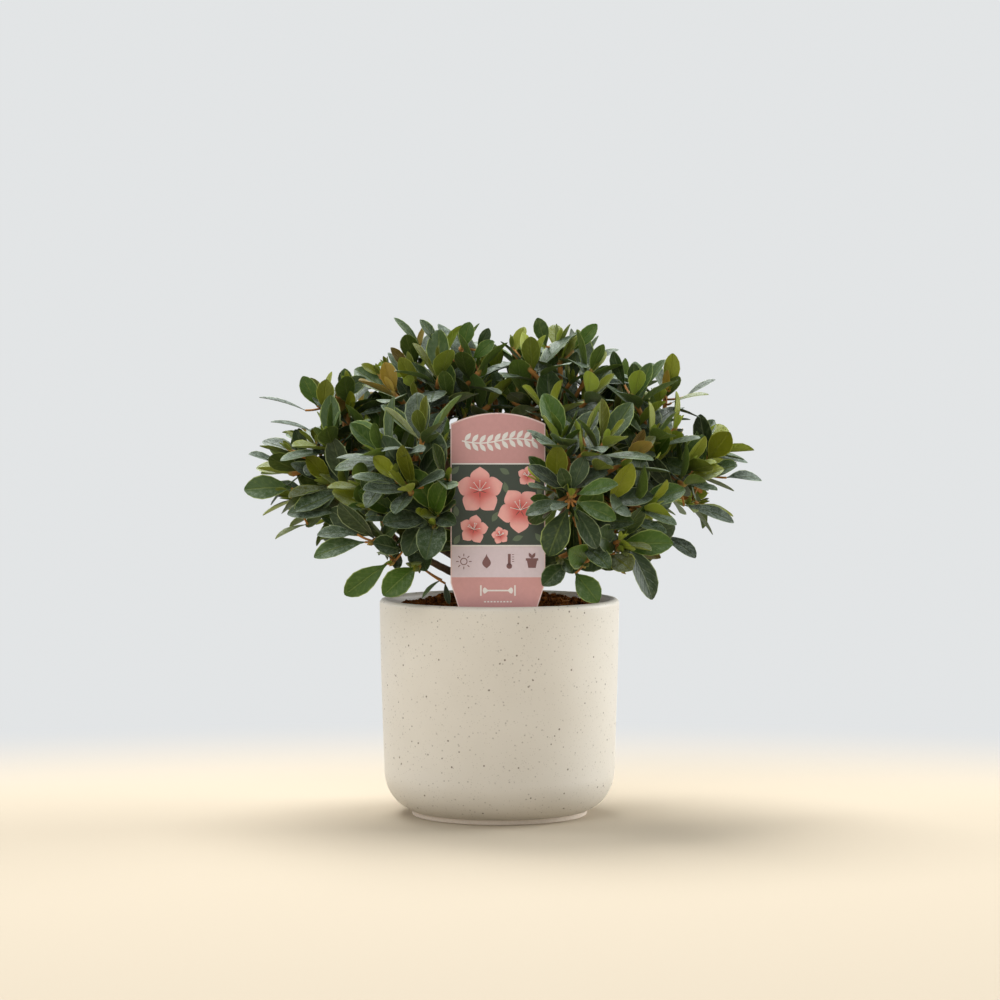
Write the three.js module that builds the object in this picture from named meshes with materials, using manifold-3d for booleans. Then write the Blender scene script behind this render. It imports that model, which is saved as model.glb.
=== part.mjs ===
// A potted azalea: a low shrub of many thin stems with whorls of small leathery leaves, growing in a
// round stoneware pot, with a plastic plant label pushed into the soil in front of it.
// Millimetres, +Z up. The origin is the middle of the pot's flat underside, and the label faces -Y.
import * as THREE from "three";
import { mergeVertices } from "three/addons/utils/BufferGeometryUtils.js";
import Module from "manifold-3d";

const wasm = await Module();
wasm.setup();

// Every pair of neighbouring pieces stays this far apart
const GAP = 0.3;

// Pot: a straight-sided cylinder that flares a little, on a rounded corner and a low foot
const POT_HEIGHT = 117.5;
const RIM_RADIUS = 65;
const WAIST_RADIUS = 62.5;
const FLARE_HEIGHT = 78;
const CORNER_RADIUS = 22.6;
const CORNER_HEIGHT = 23.8;
const FOOT_RADIUS = 47.5;
const FOOT_HEIGHT = 3;
const WALL = 5;
const POT_SEGMENTS = 48;

// Soil: a low mound, level where the trunk stands, with crumbs and hollows over the rest
const SOIL_EDGE_HEIGHT = 107;
const SOIL_TOP_HEIGHT = 120;
const SOIL_LEVEL_RADIUS = 13;
const SOIL_RINGS = 8;
const SOIL_SEGMENTS = 24;
const SOIL_CLEARANCE = 0.45;
const SOIL_ROOM_HEIGHT = 16;

// Plant label: an upright tag with an arched top, narrowing to a point in the soil
const LABEL_WIDTH = 50;
const LABEL_THICKNESS = 0.6;
const LABEL_TOP = 219.3;
const LABEL_SHOULDER = 213.5;
const LABEL_TAPER_START = 135.5;
const LABEL_TAPER_END = 78;
const LABEL_TIP = 70;
const LABEL_TIP_WIDTH = 17;
const LABEL_ARCH_SEGMENTS = 6;
const LABEL_Y = -53;
const LABEL_LEAN = THREE.MathUtils.degToRad(-2);

// The space before the label that no leaf covers, all but a strip at its right edge
const LABEL_VIEW_WIDTH = 38;
const LABEL_VIEW_DEPTH = 60;
const LABEL_VIEW_HEIGHT = 110;
const LABEL_VIEW_MIDDLE = new THREE.Vector3(-5, LABEL_Y - 31, 166);

// Trunk: a short woody stool with a root flare
const TRUNK_FOOT = SOIL_TOP_HEIGHT + GAP;
const TRUNK_HEIGHT = 17;
const TRUNK_RADIUS = 6.2;
const TRUNK_FLARE = 3.2;
const TRUNK_LEAN = 1.5;
const TRUNK_SIDES = 20;
const TRUNK_STEPS = 10;

// Limbs, shoots and leaves
const BOUGH_FOOT_RADIUS = 2.5;
const BOUGH_TIP_RADIUS = 1.5;
const BOUGH_SIDES = 5;
const BOUGH_STEP_LENGTH = 16;
const BOUGH_FEWEST_STEPS = 4;
const SHOOT_FOOT_RADIUS = 0.9;
const SHOOT_TIP_RADIUS = 1.4;
const SHOOT_SIDES = 3;
const SHOOT_STEPS = 2;
const FEWEST_LEAVES = 4;
const LEAF_LENGTH = 28;
const LEAF_WIDTH_SHARE = 0.56;
const LEAF_THICKNESS = 0.8;
const LEAF_WIDEST_SHARE = 0.58;
const LEAF_THICKEST_SHARE = 0.3;
const LEAF_SUNK = 0.3;
const LEAF_FREE_FROM = 0.16;
const LEAF_SIDES = 3;
const SMALL_LEAF = 0.7;
const SHORTEST_EDGE = 0.01;
const LEAVES_PER_SHOOT = 7;
const WHORL_DEPTH = 13;
const WHORL_LEAST_OPEN = 26;
const WHORL_MORE_OPEN = 56;
const WHORL_OPEN_VARIES = 14;
const GOLDEN_ANGLE = Math.PI * (3 - Math.sqrt(5));

// The crown: each lobe is one mass of foliage that fans out from its hub. Its bough grows from the
// trunk at `rise` up its height. `lift` turns its whorls up. `tips` are the ends of the shoots that
// show at the front, and `shoots` is how many more are tried, spread evenly round the hub.
const LOBES = [
  {
    name: "left", hub: [-84, 2, 188], reach: 30, shoots: 12, rise: 0.5, lift: 0.4,
    tips: [[-95, 0, 223], [-112, -6, 185], [-80, -34, 175], [-80, -4, 229], [-90, -28, 202]],
  },
  {
    name: "right", hub: [86, 2, 189], reach: 29, shoots: 12, rise: 0.55, lift: 0.4,
    tips: [[71, -22, 227], [90, 2, 233], [115, 0, 197], [98, -28, 180], [80, -30, 204]],
  },
  {
    name: "left_crest", hub: [-37, 8, 213], reach: 34, shoots: 11, rise: 0.88, lift: 0.4,
    tips: [[-46, 2, 247], [-32, -22, 237], [-20, 4, 254], [-64, -8, 238], [-11, -10, 240]],
  },
  {
    name: "right_crest", hub: [34, 10, 214], reach: 34, shoots: 11, rise: 0.8, lift: 0.4,
    tips: [[16, -14, 242], [31, 4, 254], [49, -12, 240], [7, 0, 252]],
  },
  {
    name: "left_low", hub: [-58, -34, 154], reach: 21, shoots: 6, rise: 0.14, lift: -0.1,
    tips: [[-67, -57, 151], [-56, -62, 141], [-42, -57, 139]],
  },
  {
    name: "right_low", hub: [58, -32, 154], reach: 21, shoots: 6, rise: 0.14, lift: -0.1,
    tips: [[62, -58, 148], [44, -63, 140], [32, -54, 143]],
  },
  {
    name: "front_left", hub: [-42, -50, 180], reach: 28, shoots: 10, rise: 0.6, lift: 0.4,
    tips: [[-46, -78, 178], [-40, -66, 208], [-62, -64, 198], [-34, -70, 160]],
  },
  {
    name: "front_right", hub: [42, -50, 179], reach: 28, shoots: 10, rise: 0.66, lift: 0.4,
    tips: [[37, -78, 176], [55, -66, 204], [76, -56, 168], [32, -62, 205]],
  },
  { name: "back_left", hub: [-54, 56, 180], reach: 34, shoots: 12, rise: 0.36, lift: 0.4, tips: [] },
  { name: "back_right", hub: [56, 54, 180], reach: 34, shoots: 12, rise: 0.34, lift: 0.4, tips: [] },
  { name: "back_crest", hub: [-1, 42, 209], reach: 34, shoots: 12, rise: 0.7, lift: 0.4, tips: [] },
  { name: "back_low", hub: [1, 74, 168], reach: 33, shoots: 12, rise: 0.16, lift: 0.4, tips: [] },
];
const CROWN_HEART = new THREE.Vector3(0, 0, 158);
const CROWN_FLOOR = 117;
const CELL_MARGIN = 0.2;
const ENTRY_DEPTH = 3;
const ENTRY_REACH = 0.9;
const ENTRY_STEPS = 100;
const WIDEST_FAN = THREE.MathUtils.degToRad(105);

const UP = new THREE.Vector3(0, 0, 1);

// A repeatable number from 0 to 1 for a lobe, a shoot and a leaf
function chance(lobe, shoot, leaf) {
  const wave = Math.sin(lobe * 127.1 + shoot * 311.7 + leaf * 74.7) * 43758.5453;
  return wave - Math.floor(wave);
}

// A closed geometry as a solid, with its shared corners merged and its collapsed faces dropped
function solidOf(geometry) {
  const bare = geometry.clone();
  bare.deleteAttribute("normal");
  bare.deleteAttribute("uv");
  const merged = mergeVertices(bare, 1e-4);
  const triVerts = [];
  for (let i = 0; i < merged.index.count; i += 3) {
    const [a, b, c] = merged.index.array.slice(i, i + 3);
    if (a !== b && b !== c && c !== a) triVerts.push(a, b, c);
  }
  const vertProperties = merged.getAttribute("position").array;
  const mesh = new wasm.Mesh({ numProp: 3, vertProperties, triVerts: new Uint32Array(triVerts) });
  return new wasm.Manifold(mesh);
}

// A solid as a geometry, drawn with flat faces
function geometryOf(solid) {
  const { numProp, vertProperties, triVerts } = solid.getMesh();
  const places = new THREE.InterleavedBuffer(vertProperties, numProp);
  const geometry = new THREE.BufferGeometry();
  geometry.setAttribute("position", new THREE.InterleavedBufferAttribute(places, 3, 0));
  geometry.setIndex(new THREE.BufferAttribute(triVerts, 1));
  const flat = geometry.toNonIndexed();
  flat.computeVertexNormals();
  return flat;
}

// The largest of a solid's separate bodies: sealed hollows are filled and loose scraps dropped
function wholeBody(solid) {
  const bodies = solid.decompose();
  return bodies.reduce((best, body) => (body.volume() > best.volume() ? body : best));
}

// The length of a solid's shortest edge
function shortestEdge(solid) {
  const { numProp, vertProperties, triVerts } = solid.getMesh();
  const corner = (vertex) => new THREE.Vector3().fromArray(vertProperties, vertex * numProp);
  let shortest = Infinity;
  for (let i = 0; i < triVerts.length; i += 3) {
    const [a, b, c] = [corner(triVerts[i]), corner(triVerts[i + 1]), corner(triVerts[i + 2])];
    shortest = Math.min(shortest, a.distanceTo(b), b.distanceTo(c), c.distanceTo(a));
  }
  return shortest;
}

// A limb along a curve: a closed cylinder bent to follow it from share `from` to share `to`, which
// may run a little past the curve's ends.
// radiusAt gives the radius at a share of the limb's own length.
function limb(curve, from, to, radiusAt, sides, steps) {
  const bar = new THREE.CylinderGeometry(1, 1, 1, sides, steps);
  const places = bar.getAttribute("position");
  const acrossFoot = curve.v1.clone().sub(curve.v0);
  const acrossTip = curve.v2.clone().sub(curve.v1);
  const flatNormal = acrossFoot.cross(acrossTip);
  if (flatNormal.length() < 1e-3) flatNormal.set(0.3, 1, 0.1);
  for (let i = 0; i < places.count; i += 1) {
    const share = places.getY(i) + 0.5;
    const t = from + (to - from) * share;
    const along = curve.getTangent(THREE.MathUtils.clamp(t, 0, 1));
    const side = flatNormal.clone().cross(along).normalize();
    const other = side.clone().cross(along);
    const place = curve.getPoint(t);
    place.addScaledVector(side, places.getX(i) * radiusAt(share));
    place.addScaledVector(other, places.getZ(i) * radiusAt(share));
    places.setXYZ(i, place.x, place.y, place.z);
  }
  return bar;
}

// The pot's outer side, moved inwards by `inset`, from the middle of its floor up to height `top`
function potSide(inset, top) {
  const side = new THREE.Path();
  const cornerCentre = WAIST_RADIUS - CORNER_RADIUS;
  const radius = CORNER_RADIUS - inset;
  const sine = inset > 0 ? -1 : (FOOT_HEIGHT - CORNER_HEIGHT) / CORNER_RADIUS;
  if (inset > 0) {
    side.moveTo(0, CORNER_HEIGHT - radius);
    side.lineTo(cornerCentre, CORNER_HEIGHT - radius);
  } else {
    side.moveTo(0, 0);
    side.lineTo(FOOT_RADIUS, 0);
    side.lineTo(FOOT_RADIUS, FOOT_HEIGHT);
  }
  side.absarc(cornerCentre, CORNER_HEIGHT, radius, Math.asin(sine), 0, false);
  side.quadraticCurveTo(RIM_RADIUS - 0.5 - inset, FLARE_HEIGHT, RIM_RADIUS - inset, top);
  return side;
}

// A profile turned round the Z axis
function turned(points, segments) {
  return new THREE.LatheGeometry(points, segments).rotateX(Math.PI / 2);
}

function potSolid() {
  const lip = WALL / 2;
  const outside = potSide(0, POT_HEIGHT - lip).getPoints(3);
  const inside = potSide(WALL, POT_HEIGHT - lip).getPoints(2);
  const rim = new THREE.Path();
  rim.absarc(RIM_RADIUS - lip, POT_HEIGHT - lip, lip, 0, Math.PI, false);
  const profile = [...outside, ...rim.getPoints(4).slice(1, -1), ...inside.reverse()];
  return solidOf(turned(profile, POT_SEGMENTS));
}

// Height of the soil's crumbs above or below the smooth mound, none where the trunk stands
function crumbs(x, y) {
  const away = THREE.MathUtils.smoothstep(Math.hypot(x, y), SOIL_LEVEL_RADIUS, SOIL_LEVEL_RADIUS + 8);
  const broad = 1.4 * Math.sin(x / 6 + 1) * Math.cos(y / 7 - 0.5);
  const fine = 0.8 * Math.sin(x / 2.9) * Math.sin(y / 2.6 + 2);
  return away * (broad + fine);
}

function soilSolid(labelSlot) {
  const wallSide = potSide(WALL + SOIL_CLEARANCE, SOIL_EDGE_HEIGHT).getPoints(2);
  const edge = wallSide[wallSide.length - 1].x;
  const mound = [];
  for (let ring = 1; ring <= SOIL_RINGS; ring += 1) {
    const share = ring / SOIL_RINGS;
    const radius = THREE.MathUtils.lerp(edge, SOIL_LEVEL_RADIUS, share);
    const rise = Math.sin(share * (Math.PI / 2));
    mound.push(new THREE.Vector2(radius, THREE.MathUtils.lerp(SOIL_EDGE_HEIGHT, SOIL_TOP_HEIGHT, rise)));
  }
  mound.push(new THREE.Vector2(0, SOIL_TOP_HEIGHT));
  const geometry = turned([...wallSide, ...mound], SOIL_SEGMENTS);
  const places = geometry.getAttribute("position");
  for (let i = 0; i < places.count; i += 1) {
    const [x, y, z] = [places.getX(i), places.getY(i), places.getZ(i)];
    if (z > SOIL_EDGE_HEIGHT + 0.1) places.setZ(i, z + crumbs(x, y));
  }
  return solidOf(geometry).subtract(labelSlot);
}

// The label's outline, wider and longer by `grow` all round
function labelOutline(grow) {
  const half = LABEL_WIDTH / 2 + grow;
  const arch = LABEL_TOP - LABEL_SHOULDER;
  const archRadius = (half * half + arch * arch) / (2 * arch);
  const archAngle = Math.asin(half / archRadius);
  const outline = new THREE.Shape();
  outline.moveTo(0, LABEL_TIP - grow);
  outline.lineTo(LABEL_TIP_WIDTH / 2 + grow, LABEL_TAPER_END);
  outline.lineTo(half, LABEL_TAPER_START);
  const archCentre = LABEL_TOP + grow - archRadius;
  outline.absarc(0, archCentre, archRadius, Math.PI / 2 - archAngle, Math.PI / 2 + archAngle, false);
  outline.lineTo(-half, LABEL_TAPER_START);
  outline.lineTo(-LABEL_TIP_WIDTH / 2 - grow, LABEL_TAPER_END);
  return outline;
}

// The label where it stands, thicker and wider by `grow` on every side
function labelSolid(grow) {
  const depth = LABEL_THICKNESS + 2 * grow;
  const settings = { depth, bevelEnabled: false, curveSegments: LABEL_ARCH_SEGMENTS };
  const plate = new THREE.ExtrudeGeometry(labelOutline(grow), settings);
  plate.translate(0, -SOIL_EDGE_HEIGHT, -depth / 2);
  plate.rotateX(Math.PI / 2 + LABEL_LEAN);
  plate.translate(0, LABEL_Y, SOIL_EDGE_HEIGHT);
  return solidOf(plate);
}

const trunkCurve = new THREE.QuadraticBezierCurve3(
  new THREE.Vector3(0, 0, TRUNK_FOOT),
  new THREE.Vector3(0, 0, TRUNK_FOOT + TRUNK_HEIGHT / 2),
  new THREE.Vector3(TRUNK_LEAN, -TRUNK_LEAN, TRUNK_FOOT + TRUNK_HEIGHT),
);

// The trunk, fatter and longer by `grow`, with a root flare at its foot and a rounded top
function trunkSolid(grow) {
  const radiusAt = (share) => {
    const flare = TRUNK_FLARE * (1 - share) ** 3;
    const crownOff = share > 0.99 ? 0.75 : 1;
    return (TRUNK_RADIUS + flare) * crownOff + grow;
  };
  const more = grow / TRUNK_HEIGHT;
  return solidOf(limb(trunkCurve, -more, 1 + more, radiusAt, TRUNK_SIDES, TRUNK_STEPS));
}

// The whole path of a lobe's bough and stem: out from the trunk, then up into the hub
function pathTo(lobe) {
  const root = trunkCurve.getPoint(lobe.rise);
  const hub = new THREE.Vector3(...lobe.hub);
  const bend = new THREE.Vector3(
    THREE.MathUtils.lerp(root.x, hub.x, 0.55),
    THREE.MathUtils.lerp(root.y, hub.y, 0.55),
    THREE.MathUtils.lerp(root.z, hub.z, 0.3),
  );
  return new THREE.QuadraticBezierCurve3(root, bend, hub);
}

const hubs = LOBES.map((lobe) => new THREE.Vector3(...lobe.hub));

// How far a point lies inside a lobe's own space, which ends halfway to each other hub
function depthInCell(point, index) {
  const own = hubs[index];
  const depths = hubs.map((hub, other) => {
    if (other === index) return Infinity;
    return (point.distanceToSquared(hub) - point.distanceToSquared(own)) / (2 * own.distanceTo(hub));
  });
  return Math.min(...depths);
}

// The share of its path at which a bough enters its lobe's space
function entryShare(path, lobe, index) {
  for (let i = ENTRY_STEPS; i > 0; i -= 1) {
    const point = path.getPoint(i / ENTRY_STEPS);
    const tooFar = point.distanceTo(hubs[index]) > lobe.reach * ENTRY_REACH;
    if (tooFar || depthInCell(point, index) < ENTRY_DEPTH) return i / ENTRY_STEPS;
  }
  return 0;
}

// A bough's radius at a share of its whole path
function boughRadius(share) {
  return THREE.MathUtils.lerp(BOUGH_FOOT_RADIUS, BOUGH_TIP_RADIUS, share);
}

// A bough up to the share `end` of its path, fatter and longer by `grow`
function boughSolid(path, end, grow) {
  const steps = Math.max(BOUGH_FEWEST_STEPS, Math.round(path.getLength() / BOUGH_STEP_LENGTH));
  const more = grow / path.getLength();
  const radiusAt = (share) => boughRadius(share * end) + grow;
  return solidOf(limb(path, -more, end + more, radiusAt, BOUGH_SIDES, steps));
}

// The corners of a geometry as points
function cornersOf(geometry) {
  const places = geometry.getAttribute("position");
  return Array.from({ length: places.count }, (_, i) => new THREE.Vector3().fromBufferAttribute(places, i));
}

// One leaf: a three-sided cone with a flat underside. Its point is the leaf's tip, the middle of its base
// is the leaf's root, and the base's three corners are the two widest places and the raised midrib. It
// grows from `root` along `along`, with its upper side towards `face`.
function leafGeometry(root, along, face, length) {
  const leaf = new THREE.ConeGeometry(1, 1, LEAF_SIDES, 1);
  const side = along.clone().cross(face).normalize();
  const upper = side.clone().cross(along).normalize();
  const halfWidth = (length * LEAF_WIDTH_SHARE) / 2;
  const places = leaf.getAttribute("position");
  for (let i = 0; i < places.count; i += 1) {
    const [x, y, z] = [places.getX(i), places.getY(i), places.getZ(i)];
    const place = root.clone();
    if (y > 0) {
      place.addScaledVector(along, length);
    } else if (Math.hypot(x, z) < 0.5) {
      place.addScaledVector(along, -LEAF_SUNK);
    } else if (z > 0.9) {
      place.addScaledVector(along, length * LEAF_THICKEST_SHARE);
      place.addScaledVector(upper, LEAF_THICKNESS);
    } else {
      place.addScaledVector(along, length * LEAF_WIDEST_SHARE);
      place.addScaledVector(side, Math.sign(x) * halfWidth);
    }
    places.setXYZ(i, place.x, place.y, place.z);
  }
  return leaf;
}

// The tips of a lobe's shoots: those listed, then a spread over the outer side of its hub
function tipsOf(lobe, index) {
  const hub = hubs[index];
  const outward = hub.clone().sub(CROWN_HEART).normalize();
  const lead = outward.multiplyScalar(0.8).addScaledVector(UP, 0.45).normalize();
  const acrossLead = lead.clone().cross(UP).normalize();
  const besideLead = lead.clone().cross(acrossLead);
  const spread = Array.from({ length: lobe.shoots }, (_, i) => {
    const fan = WIDEST_FAN * Math.sqrt((i + 0.35) / lobe.shoots);
    const turn = i * GOLDEN_ANGLE + index;
    const way = lead.clone().multiplyScalar(Math.cos(fan));
    way.addScaledVector(acrossLead, Math.sin(fan) * Math.cos(turn));
    way.addScaledVector(besideLead, Math.sin(fan) * Math.sin(turn));
    const stretch = 0.84 + 0.26 * chance(index, i, 0);
    return hub.clone().addScaledVector(way, lobe.reach * stretch);
  });
  return [...lobe.tips.map((tip) => new THREE.Vector3(...tip)), ...spread];
}

// The shoots of a lobe: for each tip the curve of its twig and the way that its whorl faces
function shootsOf(lobe, index, path, entry) {
  const hub = hubs[index];
  const outward = hub.clone().sub(CROWN_HEART).normalize();
  const tips = tipsOf(lobe, index);
  return tips.map((tip, i) => {
    const root = path.getPoint(1 - (1 - entry) * 0.75 * ((i + 0.35) / tips.length));
    const bend = root.clone().lerp(tip, 0.5).addScaledVector(path.getTangent(1), lobe.reach * 0.14);
    const axis = tip.clone().sub(hub).normalize().multiplyScalar(0.6);
    axis.addScaledVector(outward, 0.45).addScaledVector(UP, lobe.lift).normalize();
    return { curve: new THREE.QuadraticBezierCurve3(root, bend, tip), axis };
  });
}

// The leaves of one shoot, youngest first: a whorl that opens wider and sits lower with age
function leavesOf(shoot, lobeIndex, shootIndex) {
  const length = shoot.curve.getLength();
  const across = shoot.axis.clone().cross(UP);
  if (across.length() < 0.1) across.set(1, 0, 0);
  across.normalize();
  const beside = shoot.axis.clone().cross(across);
  return Array.from({ length: LEAVES_PER_SHOOT }, (_, i) => {
    const age = i / (LEAVES_PER_SHOOT - 1);
    const luck = chance(lobeIndex, shootIndex, i + 1);
    const turn = i * GOLDEN_ANGLE + shootIndex * 2 + lobeIndex;
    const openDegrees = WHORL_LEAST_OPEN + WHORL_MORE_OPEN * age + WHORL_OPEN_VARIES * (luck - 0.5);
    const open = THREE.MathUtils.degToRad(openDegrees);
    const root = shoot.curve.getPoint(1 - Math.min(0.9, (WHORL_DEPTH * age + 1) / length));
    const spread = across.clone().multiplyScalar(Math.cos(turn)).addScaledVector(beside, Math.sin(turn));
    const along = shoot.axis.clone().multiplyScalar(Math.cos(open)).addScaledVector(spread, Math.sin(open));
    along.addScaledVector(UP, 0.12 * age).normalize();
    const face = shoot.axis.clone().addScaledVector(UP, 0.4);
    const fullLength = LEAF_LENGTH * (0.78 + 0.22 * Math.sin(Math.PI * age) + 0.1 * luck);
    return (size) => {
      const bladeFoot = root.clone().addScaledVector(along, fullLength * size * LEAF_FREE_FROM);
      return {
        leaf: leafGeometry(root, along, face, fullLength * size),
        blade: leafGeometry(bladeFoot, along, face, fullLength * size * (1 - LEAF_FREE_FROM)),
      };
    };
  });
}

// A lobe's mass of foliage: its stem, with shoots and leaves fused on. A shoot or leaf that would
// leave the lobe's space, touch a limb, the label, the pot or the soil, or join on with too short an
// edge is left out.
function massSolid(lobe, index, path, entry, keepClear) {
  const isInside = (corner) => corner.z > CROWN_FLOOR && depthInCell(corner, index) > CELL_MARGIN;
  const fits = (geometry, solid) =>
    cornersOf(geometry).every(isInside) && solid.intersect(keepClear).isEmpty();
  const start = entry + (1.2 * GAP) / path.getLength();
  let mass = solidOf(limb(path, start, 1, () => boughRadius(1), BOUGH_SIDES, SHOOT_STEPS));
  shootsOf(lobe, index, path, entry).forEach((shoot, shootIndex) => {
    const radiusAt = (share) => THREE.MathUtils.lerp(SHOOT_FOOT_RADIUS, SHOOT_TIP_RADIUS, share);
    const twig = limb(shoot.curve, 0, 1, radiusAt, SHOOT_SIDES, SHOOT_STEPS);
    const twigSolid = solidOf(twig);
    if (!fits(twig, twigSolid)) return;
    let grown = mass.add(twigSolid);
    if (shortestEdge(grown) < SHORTEST_EDGE) return;
    let leaves = 0;
    for (const leafAt of leavesOf(shoot, index, shootIndex)) {
      for (const size of [1, SMALL_LEAF]) {
        const { leaf, blade } = leafAt(size);
        const leafSolid = solidOf(leaf);
        if (!fits(leaf, leafSolid) || !solidOf(blade).intersect(grown).isEmpty()) continue;
        const fuller = grown.add(leafSolid);
        if (shortestEdge(fuller) < SHORTEST_EDGE) continue;
        grown = fuller;
        leaves += 1;
        break;
      }
    }
    if (leaves >= FEWEST_LEAVES) mass = grown;
  });
  return wholeBody(mass);
}

const LOOKS = {
  pot: { color: 0xe4dfd2, roughness: 0.55 },
  soil: { color: 0x3a2a1d, roughness: 1 },
  label: { color: 0xc58a82, roughness: 0.4 },
  bark: { color: 0x5a4532, roughness: 0.85 },
  foliage: { color: 0x3c4a24, roughness: 0.45 },
};

const plant = new THREE.Group();

// Adds a solid to the plant as a named mesh
function addPiece(name, solid, look) {
  const material = new THREE.MeshStandardMaterial({ metalness: 0, ...LOOKS[look] });
  const mesh = new THREE.Mesh(geometryOf(solid), material);
  mesh.name = name;
  plant.add(mesh);
}

addPiece("pot", potSolid(), "pot");
addPiece("soil", soilSolid(labelSolid(GAP)), "soil");
addPiece("plant_label", labelSolid(0), "label");
addPiece("trunk", trunkSolid(0), "bark");

const paths = LOBES.map(pathTo);
const entries = LOBES.map((lobe, index) => entryShare(paths[index], lobe, index));

// Each bough is cut clear of the trunk and of the boughs made before it
let limbs = trunkSolid(GAP);
LOBES.forEach((lobe, index) => {
  const path = paths[index];
  const bough = wholeBody(boughSolid(path, entries[index], 0).subtract(limbs));
  addPiece(`bough_${lobe.name}`, bough, "bark");
  limbs = limbs.add(boughSolid(path, entries[index], GAP));
});

// The foliage keeps clear of the limbs, the pot, the label and its front, and a low cone over the soil
const labelBox = new THREE.BoxGeometry(LABEL_VIEW_WIDTH, LABEL_VIEW_DEPTH, LABEL_VIEW_HEIGHT);
const labelFront = solidOf(labelBox.translate(...LABEL_VIEW_MIDDLE.toArray()));
const soilRoom = solidOf(new THREE.ConeGeometry(RIM_RADIUS, SOIL_ROOM_HEIGHT, SOIL_SEGMENTS)
  .rotateX(Math.PI / 2)
  .translate(0, 0, SOIL_EDGE_HEIGHT + SOIL_ROOM_HEIGHT / 2));
const keepClear = limbs.add(potSolid()).add(labelSolid(GAP)).add(labelFront).add(soilRoom);
LOBES.forEach((lobe, index) => {
  const mass = massSolid(lobe, index, paths[index], entries[index], keepClear);
  addPiece(`foliage_${lobe.name}`, mass, "foliage");
});

export default plant;
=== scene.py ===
# %% [markdown]
# # A potted azalea
# A small evergreen azalea grows in a cream stoneware pot, with a printed plastic label pushed into its
# soil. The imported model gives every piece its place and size. This script dresses it: each piece is
# a surface worked out as a table of points, and each finish is a small tree of shader nodes.

import math

import bpy
import numpy as np
from mathutils.bvhtree import BVHTree
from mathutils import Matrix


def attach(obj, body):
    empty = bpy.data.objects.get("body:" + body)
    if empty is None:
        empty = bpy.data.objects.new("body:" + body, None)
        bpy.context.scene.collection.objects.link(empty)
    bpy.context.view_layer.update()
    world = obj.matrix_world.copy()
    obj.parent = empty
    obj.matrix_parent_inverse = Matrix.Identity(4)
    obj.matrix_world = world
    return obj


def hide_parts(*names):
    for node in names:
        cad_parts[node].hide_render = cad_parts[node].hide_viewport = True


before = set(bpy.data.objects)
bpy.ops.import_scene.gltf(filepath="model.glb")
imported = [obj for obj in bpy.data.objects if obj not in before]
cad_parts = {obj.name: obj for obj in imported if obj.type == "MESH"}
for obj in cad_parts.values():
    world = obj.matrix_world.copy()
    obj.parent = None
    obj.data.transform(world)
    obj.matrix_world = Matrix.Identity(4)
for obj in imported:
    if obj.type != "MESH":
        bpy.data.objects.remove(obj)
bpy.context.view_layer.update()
MM = 0.001

# %% [markdown]
# ## The camera
# The picture is taken with a long lens from a little above the pot's rim, so the rim is a thin ellipse.
# The focal length is known in pixels of a square picture, and the lens follows from the sensor's width.

# %% Set the camera
FOCAL_PIXELS = 3508
PICTURE_PIXELS = 1000
SENSOR_WIDTH = 36
CAMERA_PLACE = (0.0003, -1.9, 0.2637)
CAMERA_TILT_DOWN = 2.8

scene = bpy.context.scene
camera_data = bpy.data.cameras.new("camera")
camera_data.sensor_width = SENSOR_WIDTH
camera_data.lens = SENSOR_WIDTH * FOCAL_PIXELS / PICTURE_PIXELS
camera = bpy.data.objects.new("camera", camera_data)
camera.location = CAMERA_PLACE
camera.rotation_euler = (math.radians(90 - CAMERA_TILT_DOWN), 0, 0)
scene.collection.objects.link(camera)
scene.camera = camera
print("lens in mm:", round(camera_data.lens, 1))

# %% [markdown]
# ## A piece from arrays
# Blender can build a mesh from lists, but arrays are quicker for a plant with thousands of leaves. One
# function takes the points and faces of every piece, and writes them into the mesh in bulk.

# %% Make a piece from arrays
def add_piece(name, points, faces, looks, look_of_face=None, uv=None, luck=None, crease=50):
    """A mesh object from arrays that rides on the plant. points (n, 3) are in millimetres. faces is a list
    of arrays with one row of corner numbers for each face. look_of_face picks each face's material, and uv
    (n, 2) and luck (n) are numbers at each point that the materials read. Edges that bend by more than
    `crease` degrees stay sharp."""
    mesh = bpy.data.meshes.new(name)
    mesh.vertices.add(len(points))
    mesh.vertices.foreach_set("co", (points * MM).astype(np.float32).ravel())
    corners = np.concatenate([some.ravel() for some in faces]).astype(np.int32)
    sizes = np.concatenate([np.full(len(some), some.shape[1]) for some in faces]).astype(np.int32)
    mesh.loops.add(len(corners))
    mesh.loops.foreach_set("vertex_index", corners)
    mesh.polygons.add(len(sizes))
    mesh.polygons.foreach_set("loop_start", (np.cumsum(sizes) - sizes).astype(np.int32))
    mesh.update(calc_edges=True)
    for look in looks:
        mesh.materials.append(look)
    if look_of_face is not None:
        mesh.polygons.foreach_set("material_index", look_of_face.astype(np.int32))
    if uv is not None:
        mesh.uv_layers.new(name="pattern").data.foreach_set("uv", uv[corners].astype(np.float32).ravel())
    if luck is not None:
        mesh.attributes.new("luck", "FLOAT", "POINT").data.foreach_set("value", luck.astype(np.float32))
    mesh.shade_smooth()
    mesh.set_sharp_from_angle(angle=math.radians(crease))
    piece = bpy.data.objects.new(name, mesh)
    scene.collection.objects.link(piece)
    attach(piece, "root")
    print(name, len(points), "points,", int((sizes - 2).sum()), "triangles")
    return piece


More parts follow.
